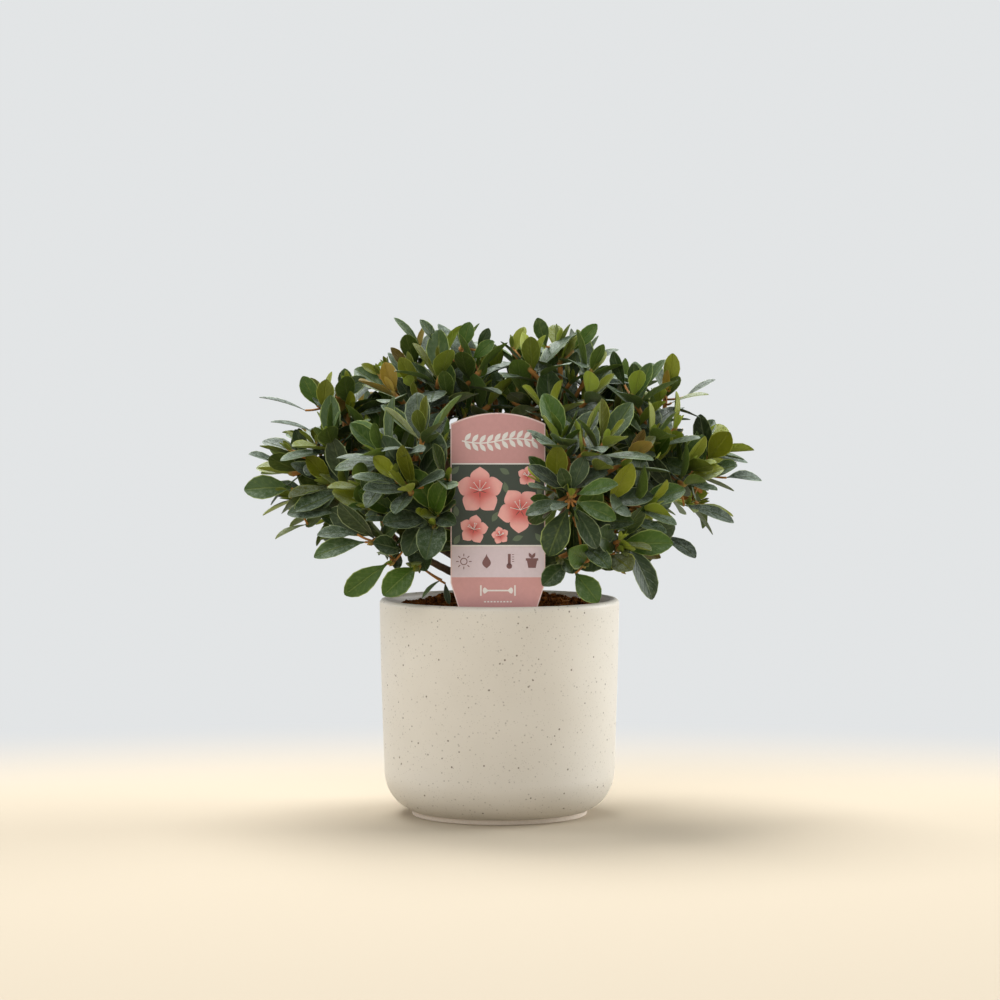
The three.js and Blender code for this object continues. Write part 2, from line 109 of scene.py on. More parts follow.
def tube_faces(rows, sides):
    """Quads and triangles of a closed tube: `rows` rings of `sides` points, then a point that closes its
    start and one that closes its end."""
    ring = np.arange(sides)
    after = (ring + 1) % sides
    row = np.arange(rows - 1)[:, None] * sides
    quads = np.stack([row + ring, row + after, row + sides + after, row + sides + ring], axis=-1)
    last = (rows - 1) * sides
    start = np.stack([after, ring, np.full(sides, rows * sides)], axis=-1)
    end = np.stack([last + ring, last + after, np.full(sides, rows * sides + 1)], axis=-1)
    return quads.reshape(-1, 4), np.concatenate([start, end])


def repeat_faces(faces, copies, points_each):
    """The same faces for many copies of a shape whose points follow each other in one table."""
    steps = np.arange(copies)[:, None, None] * points_each
    return (faces[None] + steps).reshape(-1, faces.shape[1])


def merged(shapes):
    """Several shapes as one. Each is its points, a list of face arrays, and its uv."""
    points, face_lists, uvs = zip(*shapes)
    starts = np.cumsum([0] + [len(some) for some in points])
    faces = [some + start for face_list, start in zip(face_lists, starts) for some in face_list]
    return np.concatenate(points), faces, np.concatenate(uvs)


def unit(vectors):
    """Vectors of length one with the same directions."""
    return vectors / np.maximum(np.linalg.norm(vectors, axis=-1, keepdims=True), 1e-9)


def full_turn(count):
    """Angles that part a circle evenly."""
    return np.arange(count) / count * 2 * math.pi


# %% [markdown]
# ## Shader maths
# A material's pattern is maths on fields, such as "one minus the mask times the noise". Wiring Math nodes
# by hand hides the formula, so a field wraps a node's socket, and Python's own operators add the nodes.

# %% Write shader maths as Python
class Field:
    """A value that changes over a surface: a node's output socket with operators."""

    def __init__(self, nodes, socket):
        self.nodes = nodes
        self.socket = socket

    def __add__(self, other):
        return self.nodes.maths("ADD", self, other)

    def __sub__(self, other):
        return self.nodes.maths("SUBTRACT", self, other)

    def __rsub__(self, other):
        return self.nodes.maths("SUBTRACT", other, self)

    def __mul__(self, other):
        return self.nodes.maths("MULTIPLY", self, other)

    def __abs__(self):
        return self.nodes.maths("ABSOLUTE", self)

    __radd__ = __add__
    __rmul__ = __mul__


class Nodes:
    """A node tree and the short ways to add nodes to it."""

    def __init__(self, tree):
        self.tree = tree

    def fill(self, socket, value):
        """Links a field to a socket, or sets the socket to a plain value."""
        if isinstance(value, Field):
            self.tree.links.new(value.socket, socket)
        else:
            socket.default_value = value

    def node(self, kind, sockets, output=0, **settings):
        """Adds a node, makes its settings, fills its sockets, and gives one output as a field."""
        made = self.tree.nodes.new("ShaderNode" + kind)
        for setting, value in settings.items():
            setattr(made, setting, value)
        for socket, value in sockets.items():
            self.fill(made.inputs[socket], value)
        return Field(self, made.outputs[output])

    def maths(self, operation, *values):
        return self.node("Math", dict(enumerate(values)), operation=operation)

    def part(self, vector, axis):
        """The X, Y or Z of a vector."""
        return self.node("SeparateXYZ", {"Vector": vector}, axis)

    def ramp(self, value, low, high):
        """0 below `low`, 1 above `high`, and a smooth step between; the other way round if low > high."""
        sockets = {"Value": value, "From Min": low, "From Max": high}
        return self.node("MapRange", sockets, interpolation_type="SMOOTHSTEP")

    def mix(self, share, first, second):
        """The first colour where the share is 0, the second where it is 1."""
        return self.node("Mix", {0: share, 6: first, 7: second}, 2, data_type="RGBA")


class Paint(Nodes):
    """A material, its main shader, and the nodes that patterns need."""

    def __init__(self, name, **sockets):
        self.material = bpy.data.materials.new(name)
        self.material.use_nodes = True
        super().__init__(self.material.node_tree)
        self.shader = self.tree.nodes["Principled BSDF"]
        self.place = self.node("TexCoord", {}, "Object")
        self.finish(**sockets)

    def uv(self, axis):
        """The piece's own u, as X, or v, as Y."""
        return self.part(self.node("UVMap", {}, uv_map="pattern"), axis)

    def noise(self, per_metre, detail=3, roughness=0.5):
        """Cloudy noise from 0 to 1, with about `per_metre` waves in a metre."""
        sockets = {"Vector": self.place, "Scale": per_metre, "Detail": detail, "Roughness": roughness}
        return self.node("TexNoise", sockets)

    def bump(self, height, distance):
        """Small relief: `distance` metres between the height's 0 and 1."""
        return self.node("Bump", {"Height": height, "Distance": distance})

    def finish(self, **sockets):
        """Fills sockets of the main shader, such as Base_Color or Normal, and gives the material."""
        for socket, value in sockets.items():
            self.fill(self.shader.inputs[socket.replace("_", " ")], value)
        return self.material


def srgb(red, green, blue):
    """A colour from the 0 to 255 numbers of a picture, as the shader's linear light."""
    share = np.array([red, green, blue]) / 255
    linear = np.where(share <= 0.04045, share / 12.92, ((share + 0.055) / 1.055) ** 2.4)
    return (*linear.tolist(), 1)


# %% [markdown]
# ## Light
# The plant stands in a white room. Its walls are a bright low band of even light, and the ceiling is
# dimmer, so that the crown stays dark inside and keeps its colour. Large soft lamps do the rest: a skylight
# behind and above puts a sheen on the upper leaves, windows on both sides, the right one stronger, brighten
# the pot's sides, and the room behind the camera gives a weak light from the front.

# %% Light the room
WALL_LIGHT = (0.765, 0.782, 0.79, 1)
CEILING_LIGHT = (0.29, 0.3, 0.31, 1)
# how steeply a ray rises, as the Z of its direction, where the wall ends and where the ceiling starts
WALL_TOP = 0.1
CEILING_EDGE = 0.28
LAMP_TARGET = np.array([0, 0, 0.15])

scene.view_settings.view_transform = "Standard"
world = bpy.data.worlds.new("white room")
world.use_nodes = True
room = Nodes(world.node_tree)
rise_of_ray = room.part(room.node("TexCoord", {}, "Generated"), "Z")
room_light = room.mix(room.ramp(rise_of_ray, WALL_TOP, CEILING_EDGE), WALL_LIGHT, CEILING_LIGHT)
room.fill(world.node_tree.nodes["Background"].inputs["Color"], room_light)
scene.world = world


def add_lamp(name, place, width, power, colour):
    """A square soft lamp that faces the plant."""
    lamp_data = bpy.data.lights.new(name, "AREA")
    lamp_data.size = width
    lamp_data.energy = power
    lamp_data.color = colour
    lamp = bpy.data.objects.new(name, lamp_data)
    lamp.location = place
    ray = LAMP_TARGET - np.array(place)
    flat = math.hypot(ray[0], ray[1])
    lamp.rotation_euler = (math.atan2(flat, -ray[2]), 0, math.atan2(-ray[0], ray[1]))
    scene.collection.objects.link(lamp)


add_lamp("skylight", (-0.4, 0.9, 2.3), 1.6, 88, (0.98, 0.99, 1))
add_lamp("window right", (2.3, 0.7, 1.0), 1.6, 68, (0.95, 0.98, 1))
add_lamp("window left", (-2.3, 0.6, 1.1), 1.4, 20, (0.97, 0.99, 1))
add_lamp("room behind the camera", (-0.9, -2.2, 1.8), 2.0, 34, (1, 1, 0.99))

# %% [markdown]
# ## The floor
# The floor is only there to carry the plant and its shadow, so it is one pale warm sheet that runs far out.
# Behind the plant it fades into the colour of the room, and so no horizon shows behind the leaves.

# %% Lay the floor
FLOOR_HALF = 30
FLOOR_CENTRE = (0, -0.6, 0)
FADE_START = 0.7
FADE_END = 1.05
floor_paint = Paint("pale floor", Roughness=0.9, Specular_IOR_Level=0.0, Base_Color=srgb(188, 176, 157))
ends = {0: floor_paint.place, 1: FLOOR_CENTRE}
distance = floor_paint.node("VectorMath", ends, "Value", operation="DISTANCE")
far_out = floor_paint.ramp(distance, FADE_START, FADE_END)
room_glow = floor_paint.node("Emission", {"Color": WALL_LIGHT})
near_floor = Field(floor_paint, floor_paint.shader.outputs[0])
faded = floor_paint.node("MixShader", {0: far_out, 1: near_floor, 2: room_glow})
floor_paint.fill(floor_paint.tree.nodes["Material Output"].inputs["Surface"], faded)
floor_mesh = bpy.data.meshes.new("floor")
floor_corners = np.array([[-1, -1, 0], [1, -1, 0], [1, 1, 0], [-1, 1, 0]]) * FLOOR_HALF
floor_mesh.from_pydata(floor_corners.tolist(), [], [[0, 1, 2, 3]])
floor_mesh.materials.append(floor_paint.material)
floor = bpy.data.objects.new("floor", floor_mesh)
scene.collection.objects.link(floor)

# %% [markdown]
# ## The pot
# The pot is thrown stoneware: a low foot ring, a rounded foot, nearly straight sides that flare a little,
# and a rounded lip. A lathe would turn it, so it is one profile carried round the axis.

# %% Turn the pot
POT_HEIGHT = 117.5
RIM_RADIUS = 65
WAIST_RADIUS = 62.5
FLARE = 0.5
FLARE_HEIGHT = 78
CORNER_RADIUS = 22.6
CORNER_HEIGHT = 23.8
FOOT_RADIUS = 47.5
FOOT_HEIGHT = 3
FOOT_EDGE = 0.7
FOOT_STEP = 0.3
UNDERSIDE_RING = 30
GLAZE_LINE = 2.5
WALL = 5
POT_SEGMENTS = 160


def arc(centre, radius, start, end, count):
    """Points on a circle from one angle to another, in radians."""
    angle = np.linspace(start, end, count)
    return np.stack([centre[0] + radius * np.cos(angle), centre[1] + radius * np.sin(angle)], axis=-1)


def along_curve(start, bend, end, share):
    """Places on many curves that leave `start` towards `bend` and come to `end`, each (n, axes). The share
    of the way is (n, k), or (k) for all curves alike."""
    t = np.broadcast_to(share, (len(start), np.shape(share)[-1]))[..., None]
    return (1 - t) ** 2 * start[:, None] + 2 * t * (1 - t) * bend[:, None] + t**2 * end[:, None]


def pot_side(inset, top, count):
    """The pot's side moved in by `inset`: a round corner from the foot, then a slow curve to the top."""
    centre = (WAIST_RADIUS - CORNER_RADIUS, CORNER_HEIGHT)
    low = -math.pi / 2 if inset else math.asin((FOOT_HEIGHT - CORNER_HEIGHT) / CORNER_RADIUS)
    corner = arc(centre, CORNER_RADIUS - inset, low, 0, count)
    side_ends = [(WAIST_RADIUS, CORNER_HEIGHT), (RIM_RADIUS - FLARE, FLARE_HEIGHT), (RIM_RADIUS, top)]
    side_ends = np.array(side_ends)[:, None] - [inset, 0]
    side = along_curve(*side_ends, np.linspace(0, 1, count))[0]
    return np.concatenate([corner, side[1:]])


def turned(profile, segments):
    """A profile (k, 2) of radius and height turned round the Z axis. Its two ends lie on the axis."""
    angle = full_turn(segments)
    radius, height = profile[1:-1, 0, None], profile[1:-1, 1, None]
    rings = np.stack([radius * np.cos(angle), radius * np.sin(angle), height + 0 * angle], axis=-1)
    poles = np.array([[0, 0, profile[0, 1]], [0, 0, profile[-1, 1]]])
    return np.concatenate([rings.reshape(-1, 3), poles]), list(tube_faces(len(profile) - 2, segments))


lip_centre = (RIM_RADIUS - WALL / 2, POT_HEIGHT - WALL / 2)
foot_edge = arc((FOOT_RADIUS - FOOT_EDGE, FOOT_EDGE), FOOT_EDGE, -math.pi / 2, 0, 5)
pot_profile = np.concatenate([
    [[0, 0], [UNDERSIDE_RING, 0]],
    foot_edge,
    [[FOOT_RADIUS, FOOT_HEIGHT - FOOT_STEP]],
    pot_side(0, POT_HEIGHT - WALL / 2, 22),
    arc(lip_centre, WALL / 2, 0, math.pi, 13)[1:-1],
    pot_side(WALL, POT_HEIGHT - WALL / 2, 16)[::-1],
    [[0, CORNER_HEIGHT - CORNER_RADIUS + WALL]],
])
pot_points, pot_faces = turned(pot_profile, POT_SEGMENTS)
print("profile points:", len(pot_profile))

# %% [markdown]
# The glaze is a satin cream with fine grey-brown iron specks and a faint cloudiness. The specks are the
# cells of a Voronoi pattern, cut down to a small disc, in the few cells where a random number is high. The
# pattern is turned, so that its rows don't follow the pot. The foot ring is bare pale clay, so the faces
# below the glaze line get a second finish.

# %% Glaze the pot
SPECK_TURN = (0.5, 0.3, 0.2)


def speck_mask(paint, per_metre, share, size):
    """1 in small round specks: `share` of the cells of a Voronoi pattern hold one of radius `size` cells."""
    turned_place = paint.node("Mapping", {"Vector": paint.place, "Rotation": SPECK_TURN})
    sockets = {"Vector": turned_place, "Scale": per_metre}
    distance = paint.node("TexVoronoi", sockets, "Distance")
    dice = paint.node("TexVoronoi", sockets, "Color")
    level = paint.node("SeparateColor", {"Color": dice})
    return paint.ramp(distance, size, size * 0.5) * paint.ramp(level, 1 - share, 1.02 - share)


glaze = Paint("cream glaze")
clouds = glaze.noise(28, 4)
dark_specks = speck_mask(glaze, 300, 0.15, 0.21) * 0.85
faint_specks = speck_mask(glaze, 430, 0.3, 0.25) * 0.4 + speck_mask(glaze, 800, 0.4, 0.3) * 0.2
specks = glaze.maths("MINIMUM", dark_specks + faint_specks, 0.9)
cream = glaze.mix(clouds, srgb(207, 200, 187), srgb(217, 211, 200))
grain = glaze.noise(1500, 2)
cream_glaze = glaze.finish(
    Base_Color=glaze.mix(specks, cream, srgb(92, 76, 58)),
    Roughness=0.36 + 0.16 * glaze.noise(60, 2) + 0.1 * specks,
    Normal=glaze.bump(grain + 4 * clouds, 0.00004),
)
clay = Paint("bare clay")
clay_grain = clay.noise(900, 4)
bare_clay = clay.finish(
    Base_Color=clay.mix(clay_grain, srgb(210, 194, 176), srgb(228, 216, 202)),
    Roughness=0.75 + 0.15 * clay_grain,
    Normal=clay.bump(clay_grain, 0.00015),
)
ring_of_face = np.arange(len(pot_faces[0])) // POT_SEGMENTS
clay_rings = np.searchsorted(pot_profile[1:-1, 1] > GLAZE_LINE, True)
pot_looks = np.concatenate([ring_of_face < clay_rings, np.arange(2 * POT_SEGMENTS) < POT_SEGMENTS])
pot = add_piece("pot_glazed", pot_points, pot_faces, [cream_glaze, bare_clay], pot_looks, crease=60)
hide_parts("pot")

# %% [markdown]
# ## The soil
# Dark potting soil is heaped a little towards the stem. It is crumbs of peat and bark, so a smooth mound
# is not enough: waves of several sizes roughen the mound, and loose crumbs lie on it.

# %% Heap the soil
SOIL_EDGE_HEIGHT = 107
SOIL_TOP_HEIGHT = 120
SOIL_LEVEL_RADIUS = 13
RELIEF_FADE = 8
SOIL_CLEARANCE = 0.45
BANK_HEIGHT = 3.5
BANK_START = 38
BANK_END = 56
SOIL_SEGMENTS = 150
SOIL_RINGS = 60
rng = np.random.default_rng(11)


def waves(points, length, seed, count=30):
    """Smooth noise of about -1 to 1: the sum of sine waves of about one length in random ways."""
    dice = np.random.default_rng(seed)
    ways = unit(dice.normal(size=(count, 3))) * (2 * math.pi / length) * dice.uniform(0.6, 1.5, (count, 1))
    phases = dice.uniform(0, 2 * math.pi, count)
    return np.sin(points @ ways.T + phases).sum(axis=-1) / math.sqrt(count)


def smooth_step(value, low, high):
    """0 below `low`, 1 above `high`, and 3s^2 - 2s^3 between."""
    share = np.clip((value - low) / (high - low), 0, 1)
    return share * share * (3 - 2 * share)


def soil_height(x, y):
    """The mound's height: a quarter sine from the wall to the level top, with broad and fine crumbs, and a
    little more soil pressed up against the wall."""
    radius = np.hypot(x, y)
    slope = np.clip((soil_edge - radius) / (soil_edge - SOIL_LEVEL_RADIUS), 0, 1)
    mound = SOIL_EDGE_HEIGHT + (SOIL_TOP_HEIGHT - SOIL_EDGE_HEIGHT) * np.sin(slope * math.pi / 2)
    away = smooth_step(radius, SOIL_LEVEL_RADIUS, SOIL_LEVEL_RADIUS + RELIEF_FADE)
    broad = 1.4 * np.sin(x / 6 + 1) * np.cos(y / 7 - 0.5)
    fine = 0.8 * np.sin(x / 2.9) * np.sin(y / 2.6 + 2)
    banked = BANK_HEIGHT * smooth_step(radius, BANK_START, BANK_END)
    return mound + away * (broad + fine) + banked


soil_side = pot_side(WALL + SOIL_CLEARANCE, SOIL_EDGE_HEIGHT, 8)
soil_edge = soil_side[-1, 0]
soil_rings = np.linspace([soil_edge, SOIL_EDGE_HEIGHT], [0, SOIL_EDGE_HEIGHT], SOIL_RINGS + 1)
soil_profile = np.concatenate([[[0, soil_side[0, 1]]], soil_side[:-1], soil_rings])
soil_points, soil_faces = turned(soil_profile, SOIL_SEGMENTS)
on_top = np.hypot(soil_points[:, 0], soil_points[:, 1]) < soil_edge + 0.01
on_top &= soil_points[:, 2] > SOIL_EDGE_HEIGHT - 0.01
flat_places = soil_points[on_top] * [1, 1, 0]
crumbs = 0.55 * waves(flat_places, 4, 1) + 0.4 * waves(flat_places, 1.9, 2)
soil_points[on_top, 2] = soil_height(flat_places[:, 0], flat_places[:, 1]) + crumbs
print("soil from", round(soil_points[on_top, 2].min(), 1), "to", round(soil_points[:, 2].max(), 1))

# %% [markdown]
# The loose crumbs are balls of a few faces with dented corners, thrown over the mound by a seeded random
# generator. A few are flat chips and fibres of paler bark.

# %% Throw the crumbs
CRUMBS = 2600
BALL_RINGS = 3
BALL_SIDES = 5
CHIP_SHARE = 0.06
CHIP_STRETCH = (2.2, 0.6, 0.5)


def balls(centres, sizes, dice, dent):
    """Small balls with dented corners, pushed in or out by up to `dent`. sizes (n, 3) are the half lengths
    along X, Y and Z. Each ball leans about X by a random angle, and is then turned about Z by another."""
    polar = np.linspace(0, math.pi, BALL_RINGS + 2)
    shape, faces = turned(np.stack([np.sin(polar), -np.cos(polar)], axis=-1), BALL_SIDES)
    points = shape * (1 + dent * dice.uniform(-1, 1, (len(centres), len(shape), 1))) * sizes[:, None]
    turn = dice.uniform(0, 2 * math.pi, (len(centres), 1))
    lean = dice.uniform(-0.9, 0.9, (len(centres), 1))
    x, y, z = points[..., 0], points[..., 1], points[..., 2]
    y, z = y * np.cos(lean) - z * np.sin(lean), y * np.sin(lean) + z * np.cos(lean)
    x, y = x * np.cos(turn) - y * np.sin(turn), x * np.sin(turn) + y * np.cos(turn)
    points = np.stack([x, y, z], axis=-1) + centres[:, None]
    return points.reshape(-1, 3), [repeat_faces(some, len(centres), len(shape)) for some in faces]


crumb_radius = (soil_edge - 2.2) * np.sqrt(rng.uniform(0.03, 1, CRUMBS))
crumb_angle = rng.uniform(0, 2 * math.pi, CRUMBS)
crumb_x, crumb_y = crumb_radius * np.cos(crumb_angle), crumb_radius * np.sin(crumb_angle)
crumb_size = rng.uniform(0.35, 1.25, CRUMBS) ** 1.4
crumb_centres = np.stack([crumb_x, crumb_y, soil_height(crumb_x, crumb_y) + crumb_size * 0.3], axis=-1)
crumb_sizes = crumb_size[:, None] * rng.uniform(0.6, 1.3, (CRUMBS, 3))
is_chip = rng.uniform(size=CRUMBS) < CHIP_SHARE
crumb_sizes[is_chip] *= CHIP_STRETCH
crumb_points, crumb_faces = balls(crumb_centres, crumb_sizes, rng, 0.3)

# %% [markdown]
# Moist soil is nearly black in its pores and brown on its crumbs, and never glossy.

# %% Colour the soil
def soil_paint(name, dark, pale):
    """A rough brown that changes from crumb to crumb, with a fine grain."""
    paint = Paint(name, Specular_IOR_Level=0.04)
    lumps = paint.noise(260, 5, 0.65)
    fibres = paint.noise(1100, 3, 0.6)
    return paint.finish(
        Base_Color=paint.mix(paint.ramp(lumps * 0.6 + fibres * 0.4, 0.38, 0.66), dark, pale),
        Roughness=0.85 + 0.12 * fibres,
        Normal=paint.bump(lumps + 0.4 * fibres, 0.0007),
    )


peat = soil_paint("dark peat", srgb(42, 22, 6), srgb(134, 80, 32))
bark_chip = soil_paint("bark chip", srgb(104, 70, 40), srgb(150, 110, 70))
all_soil_points = np.concatenate([soil_points, crumb_points])
all_soil_faces = soil_faces + [some + len(soil_points) for some in crumb_faces]
chip_faces = [np.repeat(is_chip, len(some) // CRUMBS) for some in crumb_faces]
soil_looks = np.concatenate([np.zeros(sum(map(len, soil_faces))), *chip_faces])
soil = add_piece("soil_crumbs", all_soil_points, all_soil_faces, [peat, bark_chip], soil_looks)
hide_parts("soil")

# %% [markdown]
# ## The label
# The label is a thin rose plastic stake with a printed front. Everything flat on it, and the stake too, is
# a ribbon: a path on the label's face with a half width at each station and a lower and upper height. So
# one function makes the plate, the printed bands, the strokes of the signs, and the petals.

# %% Shape the label
LABEL_WIDTH = 50
LABEL_THICKNESS = 0.6
LABEL_TOP = 219.3
LABEL_SHOULDER = 213.5
LABEL_TAPER_START = 129.5
LABEL_TAPER_END = 78
LABEL_TIP = 70
LABEL_TIP_WIDTH = 17
LABEL_X = -0.8
LABEL_Y = -53
LABEL_LEAN = math.radians(2)
EDGE_LINE = 0.6


def on_label(x, height, depth):
    """A place on the label: `height` up its face and `depth` in front of its middle plane, which leans
    back about the line where it enters the soil."""
    up = height - SOIL_EDGE_HEIGHT
    y = LABEL_Y + up * math.sin(LABEL_LEAN) - depth * math.cos(LABEL_LEAN)
    z = SOIL_EDGE_HEIGHT + up * math.cos(LABEL_LEAN) + depth * math.sin(LABEL_LEAN)
    return np.stack([x + LABEL_X, y, z], axis=-1)


def ribbon(path, half_width, low, high):
    """A flat strip: path (n, 2) is on the label's face, half_width (n) goes to both sides of it. Gives
    points, faces and uv, whose u is the share of the path's stations."""
    path, half_width = np.asarray(path, float), np.asarray(half_width, float)
    along = unit(np.gradient(path, axis=0))
    side = np.stack([along[:, 1], -along[:, 0]], axis=-1) * half_width[:, None]
    left, right = path - side, path + side
    ring = np.stack([left, left, right, right], axis=1)
    depth = np.array([low, high, high, low]) + np.zeros((len(path), 1))
    points = on_label(ring[..., 0], ring[..., 1], depth).reshape(-1, 3)
    middle = (low + high) / 2
    ends = on_label(path[[0, -1], 0], path[[0, -1], 1], np.full(2, middle))
    share = np.linspace(0, 1, len(path))
    uv = np.stack([np.repeat(share, 4), np.tile([0, 0, 1, 1], len(path))], axis=-1)
    uv = np.concatenate([uv, [[0, 0.5], [1, 0.5]]])
    return np.concatenate([points, ends]), list(tube_faces(len(path), 4)), uv


half_label = LABEL_WIDTH / 2
arch = LABEL_TOP - LABEL_SHOULDER
arch_radius = (half_label**2 + arch**2) / (2 * arch)
arch_heights = LABEL_SHOULDER + arch * np.sin(np.linspace(0, math.pi / 2, 14))
arch_half = np.sqrt(np.maximum(arch_radius**2 - (arch_heights - LABEL_TOP + arch_radius) ** 2, 0.01))
stake_heights = np.concatenate([[LABEL_TIP, LABEL_TAPER_END, LABEL_TAPER_START], arch_heights])
stake_half = np.concatenate([[0.3, LABEL_TIP_WIDTH / 2, half_label], arch_half])
stake_path = np.stack([0 * stake_heights, stake_heights], axis=-1)
front = LABEL_THICKNESS / 2
stake = ribbon(stake_path, stake_half, -front, front)

# %% [markdown]
# The print is a design of its own in the colours of such labels: a white sprig on the rose band, a few
# five-petalled blossoms on dark green, a pale band with signs for sun, water, warmth and pot, and a mark
# for the width on the rose below. Each layer of ink lies a little above the last, and a pale line edges
# the whole. One function prints a stroke, and the bars, drops and hoops of the design are strokes.

# %% Print the bands and blossoms
INK = 0.025
INK_DEPTH = 0.1
PRINT_HALF = half_label - EDGE_LINE
PICTURE_TOP = 192.4
PICTURE_LOW = 149.2
PALE_LOW = 132.5
DROP_STATIONS = 12
HOOP_STATIONS = 40
printed = {name: [] for name in ("edge", "rose", "white", "dark_green", "pale", "petal", "leaf", "sign")}


def stroke(ink, path, half_width, layer):
    """Prints a ribbon in one ink. It starts a little inside the plate and ends on one of the layers."""
    printed[ink].append(ribbon(path, half_width, front - INK_DEPTH, front + INK * layer))


def bar(ink, start, end, half_width, layer):
    """A straight bar."""
    stroke(ink, [start, end], [half_width, half_width], layer)


def drop(ink, start, end, half_width, layer, fullness=1.0):
    """A leaf or petal from start to end: its half width follows a sine, fuller towards its end."""
    share = np.linspace(0, 1, DROP_STATIONS)
    widths = half_width * np.maximum(np.sin(math.pi * share**fullness), 0.02)
    stroke(ink, np.linspace(start, end, DROP_STATIONS), widths, layer)


def hoop(ink, centre, radius, half_width, layer):
    """A ring, or a disc where the half width is the radius."""
    path = arc(centre, radius, 0, 2 * math.pi, HOOP_STATIONS)
    stroke(ink, path, np.full(HOOP_STATIONS, half_width), layer)


def heading(degrees):
    """A direction on the label's face."""
    return np.array([math.cos(math.radians(degrees)), math.sin(math.radians(degrees))])


rose_heights = stake_heights - EDGE_LINE * (stake_heights >= LABEL_SHOULDER)
rose_path = np.stack([0 * rose_heights, rose_heights], axis=-1)
rose_half = np.maximum(stake_half - EDGE_LINE, 0.1)
printed["edge"].append(stake)
printed["rose"].append(ribbon(rose_path, rose_half, -front * 0.5, front + INK))
bar("dark_green", (0, PICTURE_LOW), (0, PICTURE_TOP), PRINT_HALF, 2)
bar("pale", (0, PALE_LOW), (0, PICTURE_LOW), PRINT_HALF, 2)
for height in (PICTURE_TOP, PICTURE_LOW):
    bar("white", (-PRINT_HALF, height), (PRINT_HALF, height), 0.35, 24)

# x, height, petal length, turn
BLOSSOMS = [
    (-9.5, 178.2, 12.6, 18), (11.8, 168.0, 12.2, 50), (-12.8, 157.8, 7.8, 80),
    (15.8, 185.9, 5.6, 10), (1.2, 154.6, 4.7, 30),
]
picture_low = np.array([-PRINT_HALF + 0.8, PICTURE_LOW + 0.9])
picture_high = np.array([PRINT_HALF - 0.8, PICTURE_TOP - 0.9])
for which, (x, height, petal_length, turn) in enumerate(BLOSSOMS):
    centre = np.array([x, height])
    layer = 4 + 4 * which
    for petal in range(5):
        way = heading(turn + 72 * petal)
        end = np.clip(centre + way * petal_length, picture_low, picture_high)
        drop("petal", centre, end, petal_length * 0.41, layer + petal * 0.5, 1.4)
        stamen = centre + np.array([way[0], abs(way[1])]) * petal_length * 0.42
        bar("white", centre, stamen, 0.12, layer + 3)
        hoop("white", stamen, 0.16, 0.15, layer + 3)

# x, height, turn
PICTURE_LEAVES = [
    (3.5, 188.5, 150), (22, 178.5, 80), (-22, 167.5, 100), (-1.5, 164.5, 60), (21.5, 153.5, 130),
    (10.5, 153.2, 20), (-22.5, 189, 45), (-21.6, 152.4, 60), (4, 180, 100),
]
for x, height, turn in PICTURE_LEAVES:
    half_leaf = heading(turn) * 3
    drop("leaf", np.array([x, height]) - half_leaf, np.array([x, height]) + half_leaf, 1.5, 3, 0.9)

# %% Print the sprig and the signs
SPRIG_HEIGHT = 204.5
SPRIG_REACH = 19
SPRIG_STATIONS = 30
sprig_x = np.linspace(-SPRIG_REACH, SPRIG_REACH, SPRIG_STATIONS)
sprig_path = np.stack([sprig_x, SPRIG_HEIGHT + 1.2 * np.sin(sprig_x / SPRIG_REACH * math.pi)], axis=-1)
stroke("white", sprig_path, np.full(SPRIG_STATIONS, 0.36), 2)
for foot in sprig_path[1:-1:3]:
    for rise in (1, -1):
        drop("white", foot, foot + [3.4, 4.4 * rise], 1.15, 3, 1.1)

SIGN_HEIGHT = (PICTURE_LOW + PALE_LOW) / 2
sun = np.array([-18, SIGN_HEIGHT])
hoop("sign", sun, 1.7, 0.24, 4)
for ray in range(8):
    bar("sign", sun + heading(45 * ray) * 2.7, sun + heading(45 * ray) * 4.1, 0.24, 4)
drop("sign", (-6, SIGN_HEIGHT + 4), (-6, SIGN_HEIGHT - 3.6), 2.3, 4, 1.5)
bar("sign", (6, SIGN_HEIGHT - 2), (6, SIGN_HEIGHT + 4), 0.75, 4)
hoop("sign", (6, SIGN_HEIGHT - 2.4), 0.75, 0.75, 4)
for tick in range(4):
    bar("sign", (7.4, SIGN_HEIGHT + tick * 1.2), (8.6, SIGN_HEIGHT + tick * 1.2), 0.16, 4)
pot_rows = [(18, SIGN_HEIGHT + up) for up in (-3.4, 0.4, 0.5, 1.7)]
stroke("sign", pot_rows, [2, 2.7, 3.3, 3.3], 4)
drop("sign", (18, SIGN_HEIGHT + 1.6), (16.3, SIGN_HEIGHT + 4.6), 0.8, 5)
drop("sign", (18, SIGN_HEIGHT + 1.6), (19.7, SIGN_HEIGHT + 4.6), 0.8, 5)

WIDTH_MARK = 125.5
DASH_HEIGHT = 119.6
bar("white", (-8, WIDTH_MARK), (8, WIDTH_MARK), 0.4, 3)
for side in (-1, 1):
    drop("white", (side * 8, WIDTH_MARK), (side * 5, WIDTH_MARK), 1.6, 4, 0.6)
    bar("white", (side * 9, WIDTH_MARK - 2.8), (side * 9, WIDTH_MARK + 2.8), 0.4, 3)
for dash in range(-4, 5):
    bar("white", (dash * 1.7 - 0.5, DASH_HEIGHT), (dash * 1.7 + 0.5, DASH_HEIGHT), 0.35, 3)
print("printed shapes:", sum(map(len, printed.values())))

# %% [markdown]
# Printed plastic is smooth with a soft gloss. Each ink is the same plastic with another colour and a trace
# of grain. The petals go from deep coral at the throat to pale pink at the rim, along the ribbon's own u.

# %% Colour the label
MOTTLE_COLOUR = (0.1, 0.05, 0.04, 1)


